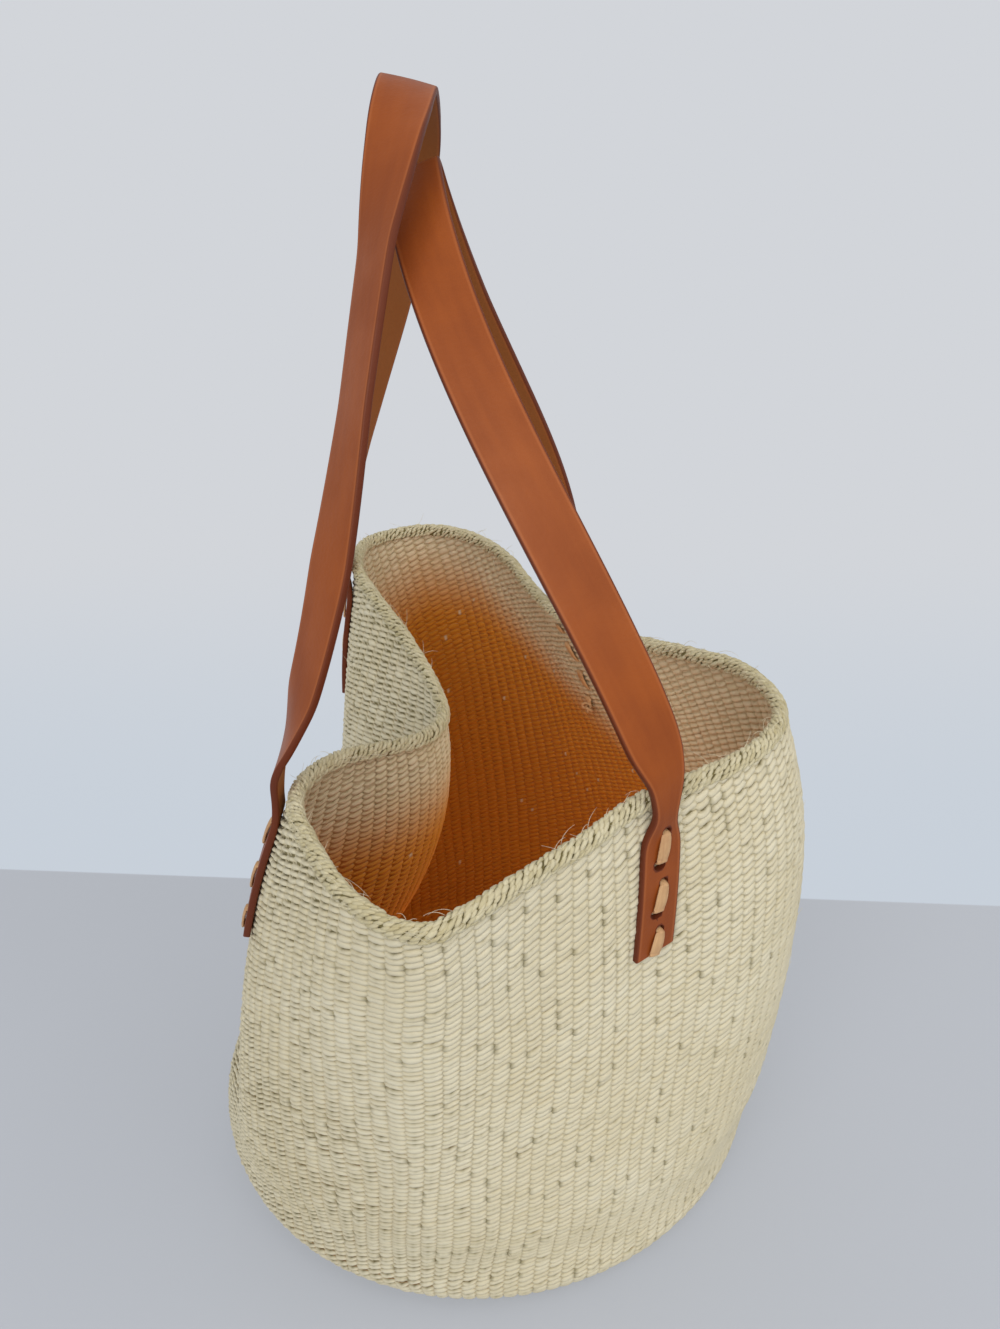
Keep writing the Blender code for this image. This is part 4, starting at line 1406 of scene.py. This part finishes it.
class StrapEnd:
    """Where one end of a strap is laced to the wall: its tab, its holes and its flex point."""

    def __init__(self, form: WovenForm, sizes: StrapSizes, name: StrapEndName) -> None:
        basket = form.sizes
        self.name = name
        self.plan = END_PLANS[name]
        self.basket = basket
        self.sizes = sizes
        self.points, self.normals, self.across = form.path(self.plan)
        steps = np.linalg.norm(np.diff(self.points, axis=0), axis=1)
        climbed = np.concatenate([[0.0], np.cumsum(steps)])
        self.drops = climbed[-1] - climbed
        level = np.array([1.0, 1.0, 0.0])
        rim = self.points[-1] + unit(self.normals[-1] * level) * self.border_offset
        tongue = sizes.neck_width / 2
        seat = math.hypot(tongue, sizes.thickness / 2) + 2 * basket.piece_gap
        rise = basket.border_height / 2 + seat + basket.piece_gap
        self.flex = rim + np.array([0.0, 0.0, rise])
        top_across = unit(self.across[-1] * level)
        if name in (StrapEndName.LEFT_FRONT, StrapEndName.LEFT_REAR):
            facing = -1.0 if name is StrapEndName.LEFT_FRONT else 1.0
            self.width_direction = top_across * np.sign(top_across[1]) * facing
        else:
            self.width_direction = top_across * np.sign(top_across[0])

    @property
    def border_offset(self) -> float:
        """How far the tab's middle stands off the wall's where it passes the border."""
        return self.basket.border_width / 2 + self.basket.seat_gap + self.sizes.thickness / 2

    @property
    def tab_length(self) -> float:
        """How far below the border the tab is cut off."""
        return self.sizes.tab_length * self.plan.length_share

    def leather_width(self, climb: float) -> float:
        """The leather's width where it narrows to its neck, just below the border.

        Args:
            climb: Metres above the flex point.

        Returns:
            The width.
        """
        sizes = self.sizes
        flex_drop = self.flex[2] - self.points[-1][2]
        past = float(smooth_share((climb + flex_drop + sizes.neck_drop) / sizes.taper_length))
        return sizes.neck_width + (sizes.width - sizes.neck_width) * past

    def frame(self, drop: float) -> tuple[Array, Array, Array]:
        """The wall at a drop below the border.

        Args:
            drop: Metres down the wall.

        Returns:
            The wall's point, its outward normal and the tab's width direction.
        """
        order = np.argsort(self.drops)
        point, normal, across = (
            np.array([np.interp(drop, self.drops[order], table[order, k]) for k in range(3)])
            for table in (self.points, self.normals, self.across)
        )
        normal = unit(normal)
        across = unit(across - normal * across.dot(normal))
        return point, normal, across * np.sign(across.dot(self.width_direction))

    def tab_offset(self, drop: float) -> float:
        """How far the tab's middle stands off the wall's at a drop below the border."""
        sizes = self.sizes
        flat = sizes.wall_crest + sizes.thickness / 2
        top = self.basket.border_height / 2
        past = float(smooth_share((drop - top) / (sizes.first_hole_drop - top)))
        return self.border_offset + (flat - self.border_offset) * past

    def at(self, drop: float, offset: float, aside: float = 0.0) -> Array:
        """A point off the wall's middle.

        Args:
            drop: Metres below the border.
            offset: Metres out of the wall.
            aside: Metres across the tab.

        Returns:
            The point.
        """
        point, normal, across = self.frame(drop)
        return point + normal * offset + across * aside

    def tab_stations(self, count: int = 36) -> list[tuple[Array, Array, float]]:
        """Centre, width direction and width of the tab, from its cut end up to the border.

        Args:
            count: How many stations.

        Returns:
            The stations.
        """
        sizes, top = self.sizes, self.basket.border_height / 2
        stations = []
        for drop in np.linspace(self.tab_length, top, count):
            _, _, across = self.frame(drop)
            flare = float(smooth_share((drop - sizes.neck_drop) / sizes.tab_flare))
            width = sizes.neck_width + (sizes.tab_width - sizes.neck_width) * flare
            width = max(width, self.leather_width(self.points[-1][2] - drop - self.flex[2]))
            stations.append((self.at(drop, self.tab_offset(drop)), across, width))
        return stations

    def holes(self) -> list[tuple[float, float, float, float]]:
        """The lace holes in the tab: a small one above each stitch and a slot below it.

        Returns:
            For each hole, its drop below the border, its shift across the tab, and half its width
            and height.
        """
        sizes, share = self.sizes, self.plan.length_share
        holes = []
        for k in range(sizes.stitches):
            start = sizes.first_hole_drop + k * (sizes.stitch_length + sizes.stitch_gap)
            top = start * share - sizes.lace_thickness * 0.4
            holes.append((top, sizes.lace_aside, sizes.lace_width * 0.36, sizes.lace_width * 0.32))
            if k < sizes.stitches - 1:
                slot = (start + sizes.stitch_length) * share + sizes.lace_thickness * 0.3
                holes.append((slot, -sizes.lace_aside, sizes.lace_width * 0.48, sizes.lace_width * 0.44))
        return holes


@dataclass
class Strap:
    """One leather strap: a tab, the loop and the other tab, in one strip."""

    name: str
    body: Body
    joint: dict
    front: StrapEnd
    rear: StrapEnd
    finish: bpy.types.Material
    apex_shares: tuple[float, float]
    rise: float
    arch_share: float
    leg_steps: int = 70
    step_length: float = 0.0022
    smoothing: float = 0.0035
    face_steps: int = 10
    corner_steps: int = 3
    cup: float = 0.00035
    blend_reach: float = 0.006

    def _leg(self, end: StrapEnd, apex: Array, normal: Array) -> list[tuple[Array, Array, float]]:
        """Stations up one leg, from the flex point to the strap's top.

        Args:
            end: The strap end that the leg stands on.
            apex: The strap's top.
            normal: The direction across the strap at its top.

        Returns:
            The stations.
        """
        low, high = end.plan.leg_lean
        centres = []
        for k in range(self.leg_steps + 1):
            turn = math.pi / 2 * k / self.leg_steps
            run = math.cos(turn) ** (1 / self.arch_share) if k < self.leg_steps else 0.0
            up = math.sin(turn) ** (1 / self.arch_share)
            lean = 3 * up * (1 - up) * (low * (1 - up) + high * up) + up**3
            x = end.flex[0] + (apex[0] - end.flex[0]) * lean
            y = apex[1] + (end.flex[1] - apex[1]) * run
            z = end.flex[2] + (apex[2] - end.flex[2]) * up
            centres.append((x, y, z))
        centres = np.array(centres)
        steps = np.linalg.norm(np.diff(centres, axis=0), axis=1)
        along = np.concatenate([[0.0], np.cumsum(steps)])
        stations = []
        for centre, length in zip(centres, along):
            twist = np.interp(length / along[-1], TWIST_PLACE_SHARES, end.plan.twists)
            direction = end.width_direction * (1 - twist) + normal * twist
            stations.append((centre, direction, end.leather_width(length)))
        return stations

    def stations(self) -> tuple[Array, Array, Array]:
        """The whole strip at even steps, smoothed as leather bends.

        Returns:
            Centres, width directions and widths, from the front cut end to the rear one.
        """
        front, rear = self.front, self.rear
        pivot = (front.flex + rear.flex) / 2
        plan = np.array(self.apex_shares) * front.basket.radius
        apex = np.array([*plan, pivot[2] + self.rise])
        normal = np.cross(rear.flex - front.flex, apex - front.flex)
        normal = unit(normal) * np.sign(normal[0])
        climb = self._leg(front, apex, normal)
        descent = self._leg(rear, apex, normal)[::-1]
        tab_rear = rear.tab_stations()[::-1]
        every = front.tab_stations() + climb + descent[1:] + tab_rear
        centres = np.array([station[0] for station in every])
        across = np.array([unit(station[1]) for station in every])
        widths = np.array([station[2] for station in every])
        edges = np.linalg.norm(np.diff(centres, axis=0), axis=1)
        along = np.concatenate([[0.0], np.cumsum(edges)])
        fine = np.linspace(0.0, along[-1], int(along[-1] / (self.step_length / 2)) + 1)
        table = np.column_stack([centres, across, widths])
        table = np.stack([np.interp(fine, along, table[:, k]) for k in range(7)], axis=1)
        table = self._smoothed(table)[::2]
        return table[:, :3], table[:, 3:6], table[:, 6]

    def _smoothed(self, table: Array) -> Array:
        """Average each row with its neighbours, and keep the ends.

        Args:
            table: Rows at even steps.

        Returns:
            The smoothed rows.
        """
        spread = self.smoothing / (self.step_length / 2)
        reach = int(3 * spread)
        weights = np.exp(-0.5 * (np.arange(-reach, reach + 1) / spread) ** 2)
        weights /= weights.sum()
        before = 2 * table[0] - table[reach:0:-1]
        after = 2 * table[-1] - table[-2 : -reach - 2 : -1]
        padded = np.vstack([before, table, after])
        return np.stack([np.convolve(padded[:, k], weights, "valid") for k in range(table.shape[1])], axis=1)

    def _outline(self) -> tuple[Array, Array, Array, Array, Array]:
        """The strip's cross-section as factors.

        Returns:
            Factors on half the flat width, on half the flat thickness, of the edge's radius across
            and through, and the side that each point lies on: 1 grain, 0 edge, -1 flesh.
        """
        flat = np.linspace(-1.0, 1.0, self.face_steps + 1)
        arc = math.pi / 2 * (np.arange(self.corner_steps) + 0.5) / self.corner_steps
        quarter = np.concatenate([arc, arc + math.pi / 2])
        rows = [(x, 1.0, 0.0, 1.0, 1.0) for x in flat]
        rows += [(1.0, np.sign(np.cos(a)), np.sin(a), np.cos(a), np.cos(a) * 0.6) for a in quarter]
        rows += [(x, -1.0, 0.0, -1.0, -1.0) for x in flat[::-1]]
        rows += [(-1.0, -np.sign(np.cos(a)), -np.sin(a), -np.cos(a), -np.cos(a) * 0.6) for a in quarter]
        return tuple(np.array(rows).T)

    def build(self) -> bpy.types.Object:
        """Make the strip with its lace holes.

        Returns:
            The strap.
        """
        sizes = self.front.sizes
        centres, across, widths = self.stations()
        run = unit(np.gradient(centres, axis=0))
        across = unit(across - run * np.sum(across * run, axis=1)[:, None])
        grain = np.cross(across, run)
        flat_x, flat_y, arc_x, arc_y, side = self._outline()
        radius = sizes.edge_round
        x = flat_x * (widths[:, None] / 2 - radius) + arc_x * radius
        y = flat_y * (sizes.thickness / 2 - radius) + arc_y * radius
        wide = smooth_share((widths - sizes.tab_width) / (sizes.width - sizes.tab_width) * 2 - 1)
        y = y - self.cup * wide[:, None] * (x / (widths[:, None] / 2)) ** 2
        edges = np.linalg.norm(np.diff(centres, axis=0), axis=1)
        along = np.concatenate([[0.0], np.cumsum(edges)])
        from_end = np.minimum(along, along[-1] - along)
        slant = sizes.tab_slant * (1 - smooth_share(from_end / (3 * sizes.tab_slant)))
        upward = np.where(along < along[-1] / 2, 1.0, -1.0) * slant
        shift = upward[:, None] * x / widths[:, None]
        grid = (
            centres[:, None]
            + across[:, None] * x[..., None]
            + grain[:, None] * y[..., None]
            + run[:, None] * shift[..., None]
        )
        grid = grid[None, :, ::-1]
        count = grid.shape[2]
        girth = np.concatenate([[0.0], np.cumsum(np.hypot(*np.diff(np.stack([x[0], y[0]]), axis=1)))])
        lay = np.zeros((1, len(along), count + 1, 2))
        lay[..., 0] = along[None, :, None]
        lay[..., 1] = np.append(girth[::-1], 0.0)
        values = {
            "face_side": np.broadcast_to(side[::-1], grid.shape[:3]),
            "from_edge": (widths[:, None] / 2 - np.abs(x))[:, ::-1][None],
        }
        parts = MeshParts()
        parts.add_tubes(grid, lay, False, values)
        piece = parts.build(self.name + "_strap_leather", self.finish)
        self._punch(piece)
        self._bend(piece)
        ends = [end.name.value + "_tab" for end in (self.front, self.rear)]
        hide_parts(self.name + "_handle_strap", *ends)
        return piece

    def _punch(self, piece: bpy.types.Object) -> None:
        """Cut the lace holes through both tabs."""
        sizes = self.front.sizes
        parts = MeshParts()
        for end in (self.front, self.rear):
            for drop, aside, half_width, half_height in end.holes():
                _, normal, across = end.frame(drop)
                up = np.cross(normal, across)
                middle = end.at(drop, end.tab_offset(drop), aside)
                line = np.array([middle - normal * sizes.thickness, middle + normal * sizes.thickness])[None]
                half = (np.full((1, 2), half_width), np.full((1, 2), half_height))
                shape = (1, 2, 3)
                grid = tube_grid(line, np.broadcast_to(across, shape), np.broadcast_to(up, shape), half, 16)
                lay = np.zeros((1, 2, 17, 2))
                parts.add_tubes(grid[:, :, ::-1], lay, False, {})
        cutter = parts.build(self.name + "_punch", self.finish)
        cut = piece.modifiers.new("lace_holes", "BOOLEAN")
        cut.operation = "DIFFERENCE"
        cut.solver = "EXACT"
        cut.object = cutter
        graph = bpy.context.evaluated_depsgraph_get()
        mesh = bpy.data.meshes.new_from_object(piece.evaluated_get(graph))
        piece.modifiers.clear()
        piece.data = mesh
        bpy.data.objects.remove(cutter, do_unlink=True)
        mesh.set_sharp_from_angle(angle=math.radians(50))

    def _bend(self, piece: bpy.types.Object) -> None:
        """Bake the strip's placement into its points."""
        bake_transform(piece)


@dataclass
class Lace:
    """The thong that laces a tab to the wall, with its knot inside."""

    end: StrapEnd
    finish: bpy.types.Material
    sides: int = 12
    samples: int = 14

    def _route(self) -> Array:
        """The thong's line down the wall.

        Returns:
            Rows of drop, offset from the wall's middle, shift across the tab, and width.
        """
        sizes, basket = self.end.sizes, self.end.basket
        share = self.end.plan.length_share
        half = sizes.lace_thickness / 2
        inside = -(sizes.wall_crest + half)
        full, narrow = sizes.lace_width, sizes.lace_width * 0.62
        aside = sizes.lace_aside
        rows = [(sizes.first_hole_drop * share - sizes.lace_tail, inside, 0.0, full * 0.8)]
        for k in range(sizes.stitches):
            top = (sizes.first_hole_drop + k * (sizes.stitch_length + sizes.stitch_gap)) * share
            last = k == sizes.stitches - 1
            span = self.end.tab_length + half + basket.seat_gap - top if last else sizes.stitch_length * share

            def outer(part: float, top: float = top, span: float = span) -> float:
                drop = top + span * part
                return self.end.tab_offset(drop) + sizes.thickness / 2 + half

            rows += [
                (top - half, inside, aside, full),
                (top - half, 0.0, aside, narrow),
                (top + span * 0.03, outer(0.03) - half * 1.2, aside, narrow),
                (top + span * 0.14, outer(0.14) - half * 0.1, aside * 0.7, full * 0.85),
                (top + span * 0.50, outer(0.5) + half * 0.3, 0.0, full),
                (top + span * 0.80, outer(0.8), -aside * 0.6, full * 0.95),
                (top + span * 0.92, outer(0.92) - half * 0.7, -aside, full * 0.84),
                (top + span * 0.98, 0.0, -aside, narrow),
                (top + span, inside, -aside, full),
            ]
        rows.append((rows[-1][0] + sizes.lace_tail, inside - half, 0.0, narrow))
        return np.array(rows)

    def build(self) -> bpy.types.Object:
        """Make the thong and its knot.

        Returns:
            The lace.
        """
        sizes = self.end.sizes
        rows = self._route()
        table = self._curve(rows)
        centres = np.array([self.end.at(drop, offset, aside) for drop, offset, aside, _ in table])
        frames = [self.end.frame(drop) for drop in table[:, 0]]
        across = np.array([frame[2] for frame in frames])
        run = unit(np.gradient(centres, axis=0))
        across = unit(across - run * np.sum(across * run, axis=1)[:, None])
        out = np.cross(run, across)
        half_width = table[:, 3] / 2
        half_depth = np.full(len(table), sizes.lace_thickness / 2)
        grid = tube_grid(centres[None], across[None], out[None], (half_width[None], half_depth[None]), self.sides)
        steps = np.linalg.norm(np.diff(centres, axis=0), axis=1)
        along = np.concatenate([[0.0], np.cumsum(steps)])[None]
        parts = MeshParts()
        parts.add_tubes(grid[:, :, ::-1], tube_lay(along, 2 * sizes.lace_width, self.sides), False, {})
        self._add_knot(parts, table[-1])
        piece = parts.build(self.end.name.value + "_lace_thong", self.finish)
        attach(piece, Body.BASKET.value)
        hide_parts(self.end.name.value + "_lace")
        return piece

    def _curve(self, rows: Array) -> Array:
        """A smooth line through the route's rows."""
        padded = np.vstack([2 * rows[0] - rows[1], rows, 2 * rows[-1] - rows[-2]])
        table = []
        for before, here, after, beyond in zip(padded[:-3], padded[1:-2], padded[2:-1], padded[3:]):
            for step in range(self.samples):
                t = step / self.samples
                table.append(
                    0.5
                    * (
                        2 * here
                        + (after - before) * t
                        + (2 * before - 5 * here + 4 * after - beyond) * t**2
                        + (3 * here - before - 3 * after + beyond) * t**3
                    )
                )
        return np.vstack([table, rows[-1:]])

    def _add_knot(self, parts: MeshParts, last: Array) -> None:
        """Add the knot in which the thong ends.

        Args:
            parts: The lace's mesh.
            last: The last row of the thong's route.
        """
        sizes = self.end.sizes
        drop = last[0]
        point, normal, across = self.end.frame(drop)
        up = np.cross(normal, across)
        middle = point - normal * (sizes.wall_crest + sizes.knot_radius)
        turn = 2 * math.pi * np.arange(60) / 60
        size = sizes.knot_radius / 3
        plan = (2 + np.cos(3 * turn)) * size
        line = (
            middle
            + across * (plan * np.cos(2 * turn) * 1.3)[:, None]
            + up * (plan * np.sin(2 * turn))[:, None]
            + normal * (np.sin(3 * turn) * size * 1.4)[:, None]
        )[None]
        run = unit(np.roll(line, -1, axis=1) - np.roll(line, 1, axis=1))
        first = unit(np.cross(run, normal + 0.3 * across))
        second = unit(np.cross(run, first))
        half = np.full(line.shape[:2], sizes.lace_thickness * 0.62)
        grid = tube_grid(line, first, second, (half, half), 8)
        along = np.linspace(0.0, 0.04, 61)[None]
        parts.add_tubes(grid, tube_lay(along, 0.006, 8), True, {})


@dataclass(frozen=True)
class Studio:
    """The floor, the lights and the camera, at the photograph's viewing angle."""

    camera_place: tuple[float, float, float] = (0.0186, -0.4531, 0.4787)
    camera_pitch: float = math.radians(26.0)
    camera_roll: float = math.radians(3.0)
    focal_pixels: float = 1100.0
    frame_height: float = 1329.0
    sensor: float = 36.0
    floor_size: float = 14.0

    def build(self, floor_material: bpy.types.Material) -> None:
        """Make the stage.

        Args:
            floor_material: The floor's finish.
        """
        self._camera()
        self._floor(floor_material)
        self._world()
        self._light("window_light", (-0.4, -1.8, 1.4), (0.0, 0.0, 0.2), 1.6, 26.0, (0.97, 0.98, 1.0))
        self._light("room_light", (1.3, -0.8, 1.5), (0.0, 0.0, 0.2), 1.4, 10.0, (1.0, 0.97, 0.92))
        self._glow("weave_glow", (0.03, -0.01, 0.10), 0.05, 0.13, (1.0, 0.62, 0.34))
        self._glow("mouth_glow", (0.045, -0.01, 0.215), 0.05, 0.05, (1.0, 0.94, 0.84))
        view = bpy.context.scene.view_settings
        view.view_transform = "Standard"
        view.look = "None"

    def _camera(self) -> None:
        """Set the camera as it was fitted to the photograph."""
        data = bpy.data.cameras.new("camera")
        data.sensor_width = self.sensor
        data.lens = self.sensor * self.focal_pixels / self.frame_height
        data.clip_start, data.clip_end = 0.01, 50.0
        camera = bpy.data.objects.new("camera", data)
        bpy.context.scene.collection.objects.link(camera)
        forward = np.array([0.0, math.cos(self.camera_pitch), -math.sin(self.camera_pitch)])
        right = np.array([1.0, 0.0, 0.0])
        down = np.cross(forward, right)
        turned_right = math.cos(self.camera_roll) * right + math.sin(self.camera_roll) * down
        turned_down = math.cos(self.camera_roll) * down - math.sin(self.camera_roll) * right
        axes = Matrix((turned_right, -turned_down, -forward)).transposed()
        camera.matrix_world = Matrix.Translation(self.camera_place) @ axes.to_4x4()
        bpy.context.scene.camera = camera

    def _floor(self, material: bpy.types.Material) -> None:
        """Lay the floor."""
        half = self.floor_size
        mesh = bpy.data.meshes.new("floor")
        corners = [(-half, -half, 0.0), (half, -half, 0.0), (half, half, 0.0), (-half, half, 0.0)]
        mesh.from_pydata(corners, [], [(0, 1, 2, 3)])
        mesh.materials.append(material)
        floor = bpy.data.objects.new("floor", mesh)
        bpy.context.scene.collection.objects.link(floor)

    @staticmethod
    def _world() -> None:
        """A pale, even room."""
        world = bpy.data.worlds.new("room")
        world.use_nodes = True
        bpy.context.scene.world = world
        bench = NodeBench(world.node_tree)
        light = world.node_tree.nodes["Background"]
        light.inputs[0].default_value = (0.93, 0.96, 1.0, 1.0)
        light.inputs[1].default_value = 0.62
        seen = bench.node("ShaderNodeBackground", Color=(0.645, 0.665, 0.70), Strength=1.0)
        path = world.node_tree.nodes.new("ShaderNodeLightPath")
        mixed = world.node_tree.nodes.new("ShaderNodeMixShader")
        bench.feed(mixed.inputs[0], path.outputs["Is Camera Ray"])
        bench.feed(mixed.inputs[1], light.outputs[0])
        bench.feed(mixed.inputs[2], seen.outputs[0])
        bench.feed(world.node_tree.nodes["World Output"].inputs[0], mixed.outputs[0])

    @staticmethod
    def _glow(name: str, place: tuple[float, float, float], radius: float, power: float, colour: Colour) -> None:
        """Light the inside as daylight does that comes warm through the weave.

        Args:
            name: The light's name.
            place: Its centre.
            radius: Its radius in metres.
            power: Its power in watts.
            colour: Its colour.
        """
        data = bpy.data.lights.new(name, "POINT")
        data.shadow_soft_size = radius
        data.energy = power
        data.color = colour
        light = bpy.data.objects.new(name, data)
        bpy.context.scene.collection.objects.link(light)
        light.location = place

    @staticmethod
    def _light(
        name: str,
        place: tuple[float, float, float],
        target: tuple[float, float, float],
        size: float,
        power: float,
        colour: Colour,
    ) -> None:
        """Hang a large soft light.

        Args:
            name: The light's name.
            place: Where it hangs.
            target: What it points at.
            size: The side of its square, in metres.
            power: Its power in watts.
            colour: Its colour.
        """
        data = bpy.data.lights.new(name, "AREA")
        data.size = size
        data.energy = power
        data.color = colour
        light = bpy.data.objects.new(name, data)
        bpy.context.scene.collection.objects.link(light)
        light.location = place
        light.rotation_euler = (Vector(target) - Vector(place)).to_track_quat("-Z", "Y").to_euler()


def clear_start_objects() -> None:
    """Remove the objects that a new file holds."""
    for obj in list(bpy.data.objects):
        bpy.data.objects.remove(obj, do_unlink=True)


def main() -> None:
    """Dress the basket piece by piece."""
    logging.basicConfig(level=logging.INFO, format="%(name)s: %(message)s")
    clear_start_objects()
    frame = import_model()
    fibre_lay_group()
    drift_group()
    leather_grain_group()
    sisal = SisalFinish("sisal_wall").build()
    base_sisal = SisalFinish("sisal_base_rounds").build()
    # The border's finish paints a darker groove shade between its strands
    border_sisal = SisalFinish(
        "sisal_border_strands",
        pale=(0.62, 0.555, 0.38),
        straw=(0.45, 0.38, 0.21),
        groove_shade_colour=(0.21, 0.175, 0.075),
        groove_shade_share=0.85,
        tone_share=0.55,
        streak_width=0.0004,
    ).build()
    strap_leather = StrapLeatherFinish("strap_grain_leather").build()
    lace_leather = LaceLeatherFinish("lace_thong_leather").build()
    Studio().build(FloorFinish("pale_floor").build())

    basket = BasketSizes()
    form = WovenForm(basket)
    twining = Twining(form, sisal, base_sisal)
    LOG.info("wall: %d pieces", len(twining.build_wall()))
    LOG.info("base: %d pieces", len(twining.build_base()))
    LOG.info("border: %s", Border(form, border_sisal).build().name)
    LOG.info("fibres: %d pieces", len(LooseFibres(form, sisal).build()))

    sizes = StrapSizes()
    ends = {name: StrapEnd(form, sizes, name) for name in StrapEndName}
    joints = {joint["name"]: joint for joint in frame["joints"]}
    straps = [
        Strap(
            name="left",
            body=Body.LEFT_HANDLE,
            joint=joints["left_handle_swing"],
            front=ends[StrapEndName.LEFT_FRONT],
            rear=ends[StrapEndName.LEFT_REAR],
            finish=strap_leather,
            apex_shares=(-0.020, -0.113),
            rise=0.216,
            arch_share=0.93,
        ),
        Strap(
            name="right",
            body=Body.RIGHT_HANDLE,
            joint=joints["right_handle_swing"],
            front=ends[StrapEndName.RIGHT_FRONT],
            rear=ends[StrapEndName.RIGHT_REAR],
            finish=strap_leather,
            apex_shares=(-0.024, -0.162),
            rise=0.1896,
            arch_share=0.77,
        ),
    ]
    for strap in straps:
        LOG.info("strap: %s", strap.build().name)
    for end in ends.values():
        LOG.info("lace: %s", Lace(end, lace_leather).build().name)


if __name__ == "__main__":
    main()
